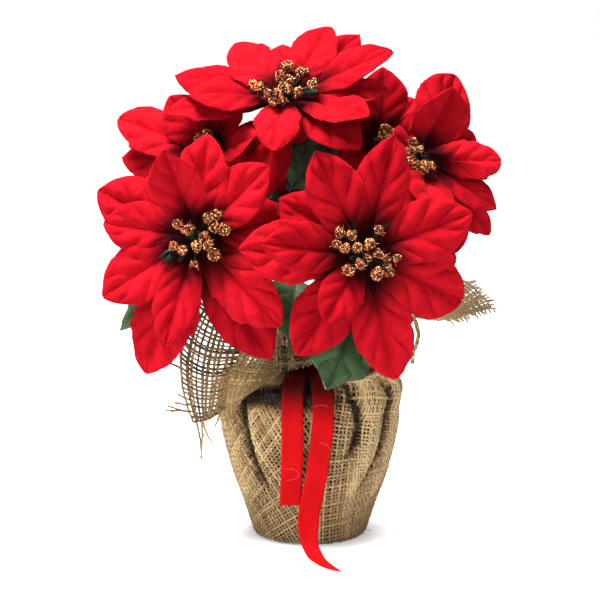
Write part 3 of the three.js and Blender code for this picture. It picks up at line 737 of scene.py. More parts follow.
class Strands:
    """Yarns, stalks and fibres as polylines with a facing, a girth and a tint."""

    def __init__(self):
        self.points = []
        self.facing = []
        self.girth = []
        # For yarns the tint carries random tone and also painted shade and light.
        self.tint = []
        self.edges = []

    def add(self, points, facing, girth=1.0, tint=0.5):
        """Add one polyline, in millimetres."""
        first = len(self.points)
        number = len(points)
        self.points.extend(np.asarray(points, dtype=float) * MM)
        self.facing.extend(np.broadcast_to(np.asarray(facing, dtype=float), (number, 3)))
        self.girth.extend(np.broadcast_to(girth, (number,)))
        self.tint.extend(np.broadcast_to(tint, (number,)))
        self.edges.extend((first + k, first + k + 1) for k in range(number - 1))

    def add_runs(self, keep, points, facing, girth, tint):
        """Add the unbroken runs of a polyline where keep holds."""
        marks = np.flatnonzero(np.diff(np.concatenate([[0], keep.astype(int), [0]])))
        for first, last in zip(marks[::2], marks[1::2]):
            if last - first > 1:
                part = slice(first, last)
                self.add(points[part], facing[part], girth[part], tint[part])

    def grow(self, name, width, thickness, sides, material):
        """Turn the polylines into a piece, flattened along their facing."""
        mesh = new_mesh(name, self.points, (), self.edges, facing=self.facing,
                        girth=self.girth, tint=self.tint)
        tree = bpy.data.node_groups.get("strands") or strand_tree()
        return grow(name, mesh, tree, Width=width, Thickness=thickness, Sides=sides,
                    Material=material)


# ---------------------------------------------------------------- geometry trees


def strand_tree():
    """Sweeps a flattened round section along polylines."""
    tree, given = start_tree("strands", (
        ("Width", "Float"), ("Thickness", "Float"), ("Sides", "Int"), ("Material", "Material")))
    curve = make(tree, "GeometryNodeMeshToCurve", {"Mesh": given["Geometry"]})
    curve = make(tree, "GeometryNodeSetCurveNormal", {
        "Curve": curve, "Normal": named(tree, "facing", "FLOAT_VECTOR")}, mode="FREE")
    curve = store(curve, "along", make(tree, "GeometryNodeSplineParameter", output="Length"))
    section = make(tree, "GeometryNodeCurvePrimitiveCircle",
                   {"Resolution": given["Sides"], "Radius": 0.5}, mode="RADIUS")
    section = store(section, "around", make(tree, "GeometryNodeSplineParameter", output="Factor"))
    height = separate(make(tree, "GeometryNodeInputPosition"))[0]
    # The crest runs from a yarn's underside to its top; the jute paints shade on the underside from
    # it.
    section = store(section, "crest", height * 2.0)
    section = make(tree, "GeometryNodeTransform", {
        "Geometry": section, "Scale": combine(given["Thickness"], given["Width"], 1.0)})
    swept = make(tree, "GeometryNodeCurveToMesh", {
        "Curve": curve, "Profile Curve": section, "Scale": named(tree, "girth"), "Fill Caps": True})
    finish_tree(swept, given["Material"])
    return tree


def bead_tree():
    """Covers dark cores with beads: one core stands on each point, and points along aim."""
    tree, given = start_tree("beads", (
        ("Radius", "Float"), ("Bead", "Float"), ("Seed", "Int"), ("Core", "Material"),
        ("Beads", "Material")))
    bead, seed = given["Bead"], given["Seed"]
    aim = make(tree, "FunctionNodeAlignRotationToVector",
               {"Vector": named(tree, "aim", "FLOAT_VECTOR")}, axis="Z")
    core = make(tree, "GeometryNodeMeshUVSphere",
                {"Segments": 10, "Rings": 7, "Radius": given["Radius"]})
    cores = make(tree, "GeometryNodeInstanceOnPoints", {
        "Points": given["Geometry"], "Instance": core, "Rotation": aim,
        "Scale": named(tree, "girth", "FLOAT_VECTOR")})
    cores = make(tree, "GeometryNodeRealizeInstances", {"Geometry": cores})
    seats = make(tree, "GeometryNodeDistributePointsOnFaces", {
        "Mesh": cores, "Distance Min": bead * 0.56, "Density Max": 4e6, "Seed": seed},
        distribute_method="POISSON")
    ball = make(tree, "GeometryNodeMeshUVSphere", {"Segments": 4, "Rings": 3, "Radius": bead * 0.5})
    girth = make(tree, "FunctionNodeRandomValue", {"Min": 0.25, "Max": 1.4, "Seed": seed},
                 data_type="FLOAT")
    turn = make(tree, "FunctionNodeRandomValue", {"Max": (6.28, 6.28, 6.28), "Seed": seed},
                data_type="FLOAT_VECTOR")
    beads = make(tree, "GeometryNodeInstanceOnPoints", {
        "Points": seats, "Instance": ball, "Scale": girth, "Rotation": turn})
    tint = make(tree, "FunctionNodeRandomValue", {"Min": 0.0, "Max": 1.0, "Seed": seed + 3.0},
                data_type="FLOAT")
    beads = store(beads, "tint", tint, "FLOAT", "INSTANCE")
    beads = store(beads, "bead", True, "BOOLEAN", "INSTANCE")
    beads = make(tree, "GeometryNodeRealizeInstances", {"Geometry": beads})
    finish_tree(join(cores, beads), given["Core"], named(tree, "bead", "BOOLEAN"), given["Beads"])
    return tree


def bract_outline(t, width, seed):
    """Half the width of a bract at share t of its length: some are blunter than others."""
    blade = (t.math("MINIMUM", 0.998) ** 1.22 * math.pi).math("SINE") ** (0.82 - seed * 0.2)
    return width * 0.5 * blade + (1.0 - t) ** 3.0 * (2.6 * MM)


def leaf_outline(t, width, _):
    """Half the width of a leaf at share t of its length: three toothed lobes a side."""
    node = add(t.tree, "ShaderNodeFloatCurve", {"Value": t})
    curve = node.mapping.curves[0]
    points = ((0, 0.05), (0.13, 0.6), (0.26, 1), (0.34, 0.74), (0.5, 0.98), (0.585, 0.64),
              (0.75, 0.64), (0.835, 0.34), (1, 0.02))
    curve.points[0].location = points[0]
    curve.points[1].location = points[-1]
    for point in points[1:-1]:
        curve.points.new(*point)
    for point in curve.points:
        point.handle_type = "VECTOR"
    node.mapping.update()
    return Field(t.tree, node.outputs[0]) * width * 0.5


def vein_wave(t, edge, seed, veins):
    """Nought along the side veins, which sweep forward, and one between them."""
    number, sweep = veins
    return abs(((t - edge ** 0.8 * sweep + seed * 0.3) * (number * math.pi)).math("SINE"))


def pressed_veins(t, edge, half, seed, veins):
    """Pillows between a groove along the middle and the side veins."""
    pillow = vein_wave(t, edge, seed, veins) ** 0.75
    groove = 1.0 - (edge * half / (2.6 * MM)).rise(0.0, 1.0)
    ends = t.rise(0.08, 0.3) * (1.0 - t.rise(0.78, 1.0))
    fade = ends * (1.0 - edge ** 5.0 * 0.7) * edge.rise(0.0, 0.4)
    return pillow * fade - groove * t.rise(0.02, 0.12) * (1.0 - t * 0.6) * 0.45


def blade_tree(name, outline, veins, cup):
    """Pressed cloth blades: one stands on each point, along its own forward, left and up."""
    tree, given = start_tree(name, (
        ("Stations", "Int"), ("Columns", "Int"), ("Thickness", "Float"), ("Emboss", "Float"),
        ("Ruffle", "Float"), ("Ragged", "Float"), ("Root", "Float"),
        ("Face", "Material"), ("Edge", "Material")))
    grid = make(tree, "GeometryNodeMeshGrid", {
        "Size X": 1.0, "Size Y": 2.0,
        "Vertices X": given["Stations"], "Vertices Y": given["Columns"]})
    x, y, _ = separate(make(tree, "GeometryNodeInputPosition"))
    grid = store(store(grid, "along", x + 0.5), "across", y)
    blades = make(tree, "GeometryNodeInstanceOnPoints",
                  {"Points": given["Geometry"], "Instance": grid})
    blades = make(tree, "GeometryNodeRealizeInstances", {"Geometry": blades})

    t, s = named(tree, "along"), named(tree, "across")
    root, forward, left, up, size, form = (
        named(tree, label, "FLOAT_VECTOR") for label in BLADE_COLUMNS)
    length, width, seed = separate(size)
    lift, bend, fold = separate(form)
    edge, side = abs(s), s.math("SIGN")

    # The outline strays from an even one, with teeth and nicks.
    stray = noise(combine(t * 4.5, side * 2.0, seed * 31.0), 1.0, 3.0) - 0.5
    tooth = ((t * 3.1 + seed * 5.0 + side * 0.23).math("FRACT") ** 1.6 - 0.3) * seed.rise(0.35, 1.0)
    tooth = tooth * t.rise(0.3, 0.55) * (1.0 - t.rise(0.86, 0.98))
    nick = noise(combine(t * 22.0, side * 3.0, seed * 13.0), 1.0, 1.0) - 0.5
    half = outline(t, width, seed) * (
        (stray + nick * 0.8) * given["Ragged"] * t.rise(0.1, 0.4) + tooth * given["Ragged"] + 1.0)

    # The blade runs along an arc, and its sides rise to a fold, veins, ruffles and wrinkles.
    slope = lift + bend * t
    reach = (length - given["Root"]) / bend
    along = given["Root"] + reach * (slope.math("SINE") - lift.math("SINE"))
    height = reach * (lift.math("COSINE") - slope.math("COSINE"))
    pressed = pressed_veins(t, edge, half, seed, veins) * given["Emboss"]
    ruffle = noise(combine(t * 2.6, s * 1.4, seed * 17.0), 1.0, 1.0) - 0.5
    wrinkle = noise(combine(t * 7.0, s * 2.6, seed * 9.0), 1.0, 2.0) - 0.5
    strayed = (ruffle * 2.0 * edge ** 1.5 + wrinkle * 0.5) * given["Ruffle"] * t.rise(0.15, 0.5)
    rise = (half * (fold * edge - edge * edge * cup) * (t * 4.0).math("MINIMUM", 1.0)
            + (pressed + strayed) * (length / (56 * MM)).math("MINIMUM", 1.1) ** 2.0)
    place = summed(root, scaled(forward, along - rise * slope.math("SINE")),
                   scaled(left, half * s), scaled(up, height + rise * slope.math("COSINE")))
    sheet = make(tree, "GeometryNodeSetPosition", {"Geometry": blades, "Position": place})

    under = store(make(tree, "GeometryNodeFlipFaces", {"Mesh": sheet}), "under", 1.0)
    thick = add(tree, "GeometryNodeExtrudeMesh", {
        "Mesh": sheet, "Offset Scale": given["Thickness"], "Individual": False}, mode="FACES")
    mesh, rim = (Field(tree, thick.outputs[label]) for label in ("Mesh", "Side"))
    closed = make(tree, "GeometryNodeMergeByDistance", {
        "Geometry": join(store(mesh, "cut", rim, "BOOLEAN", "FACE"), under), "Distance": 1e-6})
    finish_tree(closed, given["Face"], named(tree, "cut", "BOOLEAN"), given["Edge"])
    return tree


# ---------------------------------------------------------------- material helpers


def start_material(name, roughness, **uniform):
    """A new material, its tree, its shader and the piece's own coordinates."""
    material = bpy.data.materials.new(name)
    material.use_nodes = True
    tree = material.node_tree
    shader = tree.nodes["Principled BSDF"]
    shader.inputs["Roughness"].default_value = roughness
    for label, value in uniform.items():
        feed(tree, shader.inputs[label.replace("_", " ")], value)
    place = make(tree, "ShaderNodeTexCoord", output="Object")
    return material, tree, shader, place


def read(tree, name, output="Fac"):
    return make(tree, "ShaderNodeAttribute", output=output, attribute_name=name)


def mix(factor, first, second):
    return make(factor.tree, "ShaderNodeMix", {"Factor": factor, "A": first, "B": second},
                data_type="RGBA")


def darker(rgb, by):
    return tuple(part * by for part in rgb)


def paint(shader, base, height, distance, strength=1.0):
    """Feed a colour and a bump height to a shader."""
    tree = base.tree
    feed(tree, shader.inputs["Base Color"], base)
    feed(tree, shader.inputs["Normal"], make(tree, "ShaderNodeBump", {
        "Height": height, "Distance": distance, "Strength": strength}))


# ---------------------------------------------------------------- materials


def bract_velvet(look):
    """Flocked red cloth: napped and clouded with painted lit and shaded nap, painted shade in the
    pressed veins and along the midrib, and an airbrushed base deepened with painted shade.
    """
    material, tree, shader, place = start_material(
        "bract_velvet", 0.85, Sheen_Weight=0.30, Sheen_Roughness=0.4,
        Sheen_Tint=(1.0, 0.06, 0.10), Specular_IOR_Level=0.06)
    t, s = read(tree, "along"), abs(read(tree, "across"))
    seed = separate(read(tree, "size", "Vector"))[2]
    cloud = noise(place, 55.0, 4.0)
    nap = noise(place, 1500.0, 2.0)
    # Painted light and shade: patches and whole bracts are painted as lit or shaded nap at random.
    base = mix((cloud + seed * 0.5 - 0.25).rise(0.15, 0.8), look.deep, look.red)
    brushed = noise(place, 260.0, 3.0)
    base = mix(brushed.rise(0.45, 0.75) * 0.35, base, darker(look.deep, 0.85))
    base = mix(nap.rise(0.35, 0.75) * 0.22, base, darker(look.deep, 0.7))
    # Painted shade in the pressed side veins and along the midrib's groove.
    vein = 1.0 - vein_wave(t, s, seed, BRACT_VEINS).rise(0.0, 0.5)
    rib = 1.0 - s.rise(0.0, 0.09)
    vein = vein * t.rise(0.1, 0.3) * (1.0 - t.rise(0.75, 0.95))
    dip = (vein * 0.2).math("MAXIMUM", rib * (1.0 - t) * 0.3)
    base = mix(dip, base, darker(look.deep, 0.35))
    # The airbrushed throat, spread wider as painted shade near the flower heads.
    throat_airbrush_and_shade = 1.0 - (t + (cloud - 0.5) * 0.16 + s * 0.06).rise(0.16, 0.50)
    base = mix(throat_airbrush_and_shade ** 0.75 * 0.98, base, look.throat_airbrush_and_shade)
    base = mix(read(tree, "under") * 0.55, base, darker(look.deep, 0.8))
    paint(shader, base, nap + noise(place, 420.0, 2.0) * 0.8, 0.12 * MM, 0.6)
    return material


def cut_edge(name, rgb):
    """Cut cloth with its fibres showing."""
    material, _, shader, place = start_material(name, 0.9, Specular_IOR_Level=0.1)
    fibre = noise(place, 700.0, 2.0)
    base = mix(fibre.rise(0.35, 0.65), rgb, darker(rgb, 0.45))
    paint(shader, base, fibre, 0.1 * MM)
    return material


def leaf_cloth(look):
    """Green waxed cloth with a fine weave, mottled with painted light and shade, and with painted
    shade in the pressed veins and along the midrib.
    """
    material, tree, shader, place = start_material(
        "leaf_cloth", 0.55, Sheen_Weight=0.12, Specular_IOR_Level=0.35)
    t, s = read(tree, "along"), abs(read(tree, "across"))
    cloud = noise(place, 60.0, 3.0)
    # Painted light and shade in random patches.
    base = mix(cloud.rise(0.3, 0.7), look.shade, look.green)
    seed = separate(read(tree, "size", "Vector"))[2]
    # Painted shade in the pressed veins and along the midrib.
    vein = 1.0 - vein_wave(t, s, seed, LEAF_VEINS).rise(0.0, 0.3)
    rib = 1.0 - s.rise(0.0, 0.08)
    line = (vein * (1.0 - t.rise(0.85, 1.0))).math("MAXIMUM", rib)
    base = mix(line * 0.75, base, darker(look.shade, 0.4))
    base = mix(read(tree, "under") * 0.2, base, look.edge)
    weave = make(tree, "ShaderNodeTexVoronoi", {"Vector": place, "Scale": 1600.0})
    paint(shader, base, weave, 0.06 * MM, 0.5)
    return material


def bead_metal(look):
    """Glitter and metallic beads from gold to bronze."""
    material, tree, shader, place = start_material("bead_metal", 0.22, Metallic=0.75)
    tint = read(tree, "tint")
    speck = noise(place, 1400.0, 1.0)
    base = mix(tint.rise(0.15, 0.5), look.bronze, look.copper)
    base = mix((tint + (speck - 0.5) * 0.5).rise(0.5, 0.85), base, look.gold)
    paint(shader, base, speck, 0.1 * MM)
    return material


def moulded_green(name, rgb, roughness=0.5):
    """Moulded green plastic, clouded and a little dusty."""
    material, _, shader, place = start_material(name, roughness, Specular_IOR_Level=0.2)
    cloud = noise(place, 160.0, 3.0)
    base = mix(cloud.rise(0.3, 0.75), rgb, darker(rgb, 1.9))
    paint(shader, base, noise(place, 500.0, 2.0), 0.15 * MM, 0.5)
    return material


def matt(name, rgb, roughness, grain, depth=0.2 * MM, contrast=0.5):
    """A matt, grained, slightly uneven surface."""
    material, _, shader, place = start_material(name, roughness)
    cloud = noise(place, grain * 0.2, 4.0)
    base = mix(cloud.rise(0.25, 0.75), darker(rgb, 1.0 - contrast), rgb)
    paint(shader, base, noise(place, grain, 3.0), depth)
    return material


def jute(look):
    """Spun jute: pale and brown yarns, twisted fibres and slubs, with the painted shade and light
    that the yarns' tint carries.
    """
    material, tree, shader, place = start_material(
        "jute", 0.9, Sheen_Weight=0.25, Sheen_Tint=(1.0, 0.85, 0.6), Specular_IOR_Level=0.2)
    tint = read(tree, "tint")
    along, around = read(tree, "along"), read(tree, "around")
    twist = (along * (2 * math.pi / (3.2 * MM)) + around * (6 * math.pi)).math("SINE")
    fibre = noise(combine(along * 260.0, around * 9.0, tint * 40.0), 1.0, 3.0)
    patch = noise(place, 110.0, 3.0)
    fleck = noise(place, 1500.0, 3.0)
    # The tint carries random tone and painted shading: painted shade turns yarns brown and painted
    # light turns them pale.
    shade = (tint * 0.75 + fibre * 0.5 + patch * 0.45 + twist * 0.05 - 0.35).rise(0.15, 0.95)
    base = mix(shade, look.brown, look.pale)
    base = mix(fleck.rise(0.5, 0.72) * 0.55, base, darker(look.brown, 0.5))
    base = mix((1.0 - fleck.rise(0.28, 0.45)) * 0.4, base, look.pale)
    # Painted shade on the yarns' sides and undersides, so the gaps between them read darker.
    painted_gap_shade = 1.0 - read(tree, "crest").rise(-0.3, 0.85)
    base = mix(painted_gap_shade * 0.65, base, darker(look.brown, 0.3))
    # Painted shade: where painted shade has lowered the tint below nought, the yarns turn to the
    # dark of the shaded lining.
    base = mix(1.0 - tint.rise(-1.1, 0.15), base, darker(look.lining, 0.4))
    paint(shader, base, fibre + twist * 0.35 + fleck * 0.6, 0.25 * MM)
    return material


def ribbon_velvet(look):
    """Bright red ribbon with a fine rib across and a soft nap, and painted shadow near the knot."""
    material, tree, shader, place = start_material(
        "ribbon_velvet", 0.7, Sheen_Weight=0.15, Sheen_Tint=(1.0, 0.1, 0.1),
        Specular_IOR_Level=0.08)
    cloud = noise(place, 70.0, 3.0)
    nap = noise(place, 1800.0, 1.0)
    along = read(tree, "along")
    rib = (along * (2 * math.pi / (0.55 * MM))).math("SINE")
    base = mix(cloud.rise(0.2, 0.8), darker(look.red, 0.78), look.red)
    base = mix(nap.rise(0.45, 0.8) * 0.2, base, darker(look.red, 0.45))
    # Painted shadow on the tails near the knot; the band and the knot, whose along is nought, are
    # painted wholly in that shadow.
    painted_shadow_near_knot = 1.0 - along.rise(0.028, 0.052)
    base = mix(painted_shadow_near_knot * 0.96, base, darker(look.red, 0.07))
    paint(shader, base, nap + rib * 0.15, 0.08 * MM, 0.6)
    return material


# ---------------------------------------------------------------- the burlap's surfaces


def lay(surface, a, b):
    """Points of a surface and their normals, in millimetres."""
    step = 0.05
    points = surface(a, b)
    normals = np.cross(surface(a + step, b) - points, surface(a, b + step) - points)
    return points, normals / np.maximum(np.linalg.norm(normals, axis=-1, keepdims=True), 1e-9)


def smooth_step(low, high, value):
    t = np.clip((value - low) / (high - low), 0, 1)
    return t * t * (3 - 2 * t)


def wrap_relief(a, b, part=0):
    """How far the folds stand out of the wrap: all of them, or only the ridges (part 1) or
    the creases (part -1)."""
    angle = np.degrees(a / WRAP_CHART_RADIUS) % 360
    height, = up_cloth(b, "height")
    relief = np.zeros_like(angle)
    for course, stand, half_width in WRAP_FOLDS:
        if stand * part < 0:
            continue
        angles, heights = np.array(course[::-1], dtype=float).T
        away = (angle - np.interp(height, heights, angles) + 180) % 360 - 180
        fade = smooth_step(heights[0] - 6, heights[0] + 10, height)
        fade *= 1 - smooth_step(heights[-1] - 2, heights[-1] + 8, height)
        relief = relief + stand * fade * np.exp(-(away / half_width) ** 2)
    return relief


def profile_table():
    """The wrap's radius, its height and the way it faces, against the distance up the cloth."""
    path = smooth_path(WRAP_PROFILE, 240)
    slope = np.gradient(path, axis=0)
    slope /= np.linalg.norm(slope, axis=1)[:, None]
    distance = np.concatenate([[0], np.cumsum(np.linalg.norm(np.diff(path, axis=0), axis=1))])
    return {"distance": distance, "radius": path[:, 0], "height": path[:, 1],
            "out": slope[:, 1], "over": -slope[:, 0]}


PROFILE = profile_table()
PROFILE_LENGTH = PROFILE["distance"][-1]


def up_cloth(b, *columns):
    """Columns of the wrap's profile at a distance up the cloth."""
    return [np.interp(b, PROFILE["distance"], PROFILE[column]) for column in columns]


def beyond_hollow(a):
    """Nought over the hollow in the shoulder, and one away from it."""
    away = np.abs((np.degrees(a / WRAP_CHART_RADIUS) - HOLLOW[0] + 180) % 360 - 180)
    return smooth_step(HOLLOW[1], HOLLOW[2], away)


def wrap_body(a, b, extra=0.0):
    """The wrap's wall: a runs round it on its chart, b up the cloth from the base's edge,
    and extra moves it out."""
    radius, height, out, over = up_cloth(b, "radius", "height", "out", "over")
    turn = a / WRAP_CHART_RADIUS
    gather = smooth_step(82, 90, height) * (np.cos(turn * 11 + 0.6) + 0.5 * np.cos(turn * 19 + 2.0))
    gather = gather * np.interp(radius, (16, 30, 44), (1.1, 2.4, 1.2))
    rolled = smooth_step(DOME[0], DOME[1], b) * (1 - smooth_step(DOME[2], DOME[3], b))
    dome = DOME_STAND * rolled * beyond_hollow(a)
    stand = wrap_relief(a, b) + gather + dome + extra
    radius = radius + stand * out
    height = height + stand * over
    return np.stack([radius * np.cos(turn), radius * np.sin(turn), height], axis=-1)


def quarter_bias(i, j):
    """Crossings of the quarter that hangs on the bias: its warps lean to the left, and its
    wefts climb to the right, more steeply towards the top."""
    warp = math.radians(121)
    level = j * PITCH * 0.93
    climb = np.tan(np.radians(33 + 21 * smooth_step(5, 60, level)))
    lean = math.sin(warp), -math.cos(warp)
    middle = -34
    a = (i * PITCH * 0.84 - lean[1] * (level - climb * middle)) / (lean[0] + lean[1] * climb)
    return a, level + climb * (a - middle)


def quarter_upright(i, j):
    """Crossings of the quarter whose warps stand upright: its wefts dip towards the ridge
    at the top and climb past it lower down."""
    level = j * PITCH * 0.87
    level = level - 0.3 * np.maximum(level - 84, 0)
    high = smooth_step(30, 85, level)
    away = i * PITCH * 0.82 - 4
    away = away - 0.34 * np.maximum(away - 13, 0)
    bend = 0.001 + 0.007 * smooth_step(10, 50, level)
    b = level + (0.10 - 0.40 * high) * away + bend * away ** 2 / (1 + (away / 40) ** 2)
    return 8 + away + 0.0011 * b ** 2 - 0.05 * b, b


def neck_frill(a, b):
    """The ruffle of cloth that stands up round the neck, lower in front."""
    turn = a / 24.0
    share = b / 26.0
    front = 0.5 - 0.5 * np.sin(turn)
    ruffle = share * (np.sin(turn * 7 + 0.8) + 0.5 * np.sin(turn * 13 + 2.0))
    radius = 16.8 + (13 + 5 * front) * share ** 1.2 + 2.6 * ruffle
    height = 104.5 + (20 - 11 * front ** 2) * share - 2.4 * share * np.cos(turn * 7 + 1.6)
    return np.stack([radius * np.cos(turn), radius * np.sin(turn), height], axis=-1)


def net_surface(net):
    """A smooth surface through a net of four by four points, over 0 to 1 both ways."""
    net = np.array(net, dtype=float)
    basis = np.linalg.inv(np.vander(np.linspace(0, 1, 4), 4))

    def surface(a, b):
        across = np.stack([a ** 3, a ** 2, a, np.ones_like(a)], axis=-1) @ basis
        along = np.stack([b ** 3, b ** 2, b, np.ones_like(b)], axis=-1) @ basis
        return np.einsum("...i,...j,ijk->...k", along, across, net)

    return surface


def weave(strands, surface, inside, crossings, reach, crimp, girth, chance, slack=0.10,
          painted_shading_at=None, stout=(1.0, 1.0)):
    """Weave yarns both ways over a surface, over and under one another. Where
    painted_shading_at is given, the painted shade it gives is taken off the yarns' tint,
    and less than nothing adds painted light; stout is the girth of warps and of wefts."""
    i, j = np.meshgrid(np.arange(-reach, reach + 1), np.arange(-reach, reach + 1), indexing="ij")
    shape = i.shape
    drift_i = chance.normal(0, slack, (shape[0], 1)) + chance.normal(0, slack * 0.5, shape)
    drift_j = chance.normal(0, slack, (1, shape[1])) + chance.normal(0, slack * 0.5, shape)
    a, b = crossings(i + drift_i, j + drift_j)
    keep = inside(a, b)
    points, normals = lay(surface, a, b)
    over = np.where((i + j) % 2 == 0, crimp, -crimp)[..., None]
    for k in range(shape[0]):
        for side, part, thick in ((1, np.s_[k, :], stout[0]), (-1, np.s_[:, k], stout[1])):
            slub = chance.normal(1, 0.16) + 0.14 * np.sin(
                np.arange(shape[1]) * chance.uniform(0.15, 0.5) + chance.uniform(0, 6))
            shade = chance.uniform(0.1, 0.9) + chance.normal(0, 0.06, shape[1])
            # Painted shade and light: the painted shading lowers the yarn's tint, or raises it
            # where it is below nought.
            if painted_shading_at is not None:
                shade = shade - painted_shading_at(a[part], b[part])
            width = np.clip(slub, 0.6, 1.5) * thick * girth(a[part], b[part])
            strands.add_runs(keep[part], (points + side * normals * over)[part], normals[part],
                             width, shade)


def wrap_painted_shading(a, b):
    """Painted shade in the creases and in the hollow over the shoulder, and painted light on the
    ridges, as amounts taken off the yarns' tint.
    """
    crease, ridge = -wrap_relief(a, b, -1), wrap_relief(a, b, 1)
    hollow = smooth_step(84, 92, b) * (1 - beyond_hollow(a))
    return smooth_step(0.5, 3.2, crease) * 1.7 + hollow * 2.2 - 0.9 * smooth_step(0.6, 2.0, ridge)


def straight(origin, weft, warp):
    """Crossings of two straight families of yarns."""

    def crossings(i, j):
        return origin[0] + i * weft[0] + j * warp[0], origin[1] + i * weft[1] + j * warp[1]

    return crossings


def weave_quarter(strands, number, look, chance):
    """One quarter of the wall; quarters lie on the bias and upright by turns."""
    low, high = (math.radians(angle) * WRAP_CHART_RADIUS for angle in WRAP_QUARTERS[number])
    middle = math.radians(270 + 180 * (number // 2)) * WRAP_CHART_RADIUS
    family, stout = ((quarter_bias, (1.0, 0.8)), (quarter_upright, (0.92, 0.92)))[number % 2]

    def crossings(i, j):
        across, b = family(i, j)
        radius, = up_cloth(b, "radius")
        return middle + across * (WRAP_CHART_RADIUS / np.maximum(radius, 32)) ** 0.6, b

    def inside(a, b):
        return (a > low) & (a < high) & (b > 0) & (b < PROFILE_LENGTH - 5)

    def girth(a, b):
        radius, = up_cloth(b, "radius")
        return np.clip(radius / 42, 0.6, 1.0) * (1 + 0.04 * wrap_relief(a, b, 1))

    # The wall's yarns carry painted shade in its creases and hollow, and painted light on its
    # ridges.
    weave(strands, wrap_body, inside, crossings, 90, look.crimp / MM, girth, chance,
          painted_shading_at=wrap_painted_shading, stout=stout)


def weave_base(strands, chance):
    """The flat weave under the pot."""

    def disc(a, b):
        return np.stack([a, b, np.full_like(a, 0.85)], axis=-1)

    weave(strands, disc, lambda a, b: np.hypot(a, b) < 31.5,
          straight((0, 0), (2.7, 0.2), (-0.2, 2.7)), 14, 0.3, lambda a, b: 0.7, chance)


def weave_frill(strands, look, chance):
    """The ruffle round the neck."""
    weave(strands, neck_frill, lambda a, b: (a > -75.3) & (a < 75.5) & (b > 0) & (b < 27),
          straight((0, 13), (2.3, 0), (0.3, 2.5)), 36, look.crimp / MM,
          lambda a, b: np.interp(b, (0, 26), (0.7, 1.0)), chance)


def weave_flap(strands, look, chance, net, warps, wefts, warp_fringe, weft_fringe, painted_shading, left):
    """One corner of the cloth, woven out to its two frayed edges. Towards the neck the
    fringe gets sparser and shorter."""
    surface = net_surface(net)

    def inside(a, b):
        return (abs(a - 0.5) < 0.5 + 0.45 / warps) & (abs(b - 0.5) < 0.5 + 0.45 / wefts)

    # The flap's painted shading darkens its yarns, or lightens them where it is below nought.
    weave(strands, surface, inside, straight((0, 0), (1 / warps, 0), (0, 1 / wefts)),
          max(warps, wefts) + 1, look.crimp / MM, lambda a, b: 0.92 + 0.08 * a, chance, 0.12,
          lambda a, b: painted_shading, (1.18, 1.0))
    for number, (shortest, longest), side in ((warps, warp_fringe, 0), (wefts, weft_fringe, 1)):
        for k in range(number + 1):
            place = np.array(k / number + chance.normal(0, 0.01))
            a, b = (place, np.array(0.0)) if side == 0 else (np.array(0.0), place)
            point, normal = lay(surface, a, b)
            inner = surface(a + 0.12 * side, b + 0.12 * (1 - side))
            out = (point - inner) / np.linalg.norm(point - inner)
            sparse, short = k >= number * 0.62, k >= number * 0.6
            if chance.random() > left * (0.5 if sparse else 1.0):
                continue
            length = chance.uniform(shortest, longest) * (0.5 if short else 1.0)
            fray(strands, point, out, normal, length, chance, painted_shading * 0.5)


def fray(strands, point, out, normal, length, chance, painted_shading):
    """A loose yarn end: it wanders, droops a little and thins to a point."""
    steps = np.linspace(0, 1, 7)[:, None]
    aside = np.cross(out, normal)
    bow = chance.normal(0, 0.16) * length
    sway = chance.normal(0, 0.12) * length
    droop = np.array([0, 0, -0.14 * length])
    path = (point + out * steps * length + aside * bow * steps ** 2 + normal * sway * steps ** 2
            + droop * steps ** 2 + chance.normal(0, 0.12, (7, 3)) * steps)
    taper = np.linspace(1.05, 0.55, 7)
    # The fringe's tint carries half of the flap's painted shading.
    strands.add(path, normal, taper, chance.uniform(0.25, 0.95) - painted_shading)
    if chance.random() < 0.5:
        split = path + aside * steps ** 2 * chance.normal(0, 0.18) * length + normal * steps * 0.3
        strands.add(split, normal, taper * 0.5, chance.uniform(0.4, 1.0))


def hair(strands, point, normal, chance, longest, girth):
    """A fine stray fibre that stands off the cloth and stays above the floor."""
    side = chance.normal(0, 1, 3)
    side /= np.linalg.norm(side)
    length = chance.uniform(0.35, 1.0) * longest
    steps = np.linspace(0, 1, 5)[:, None]
    path = point + normal * np.sin(steps * 2.6) * length * 0.4 + side * steps * length
    path[:, 2] = np.maximum(path[:, 2], 0.4)
    strands.add(path, normal, girth, chance.uniform(0.5, 1.0))


# ---------------------------------------------------------------- operators


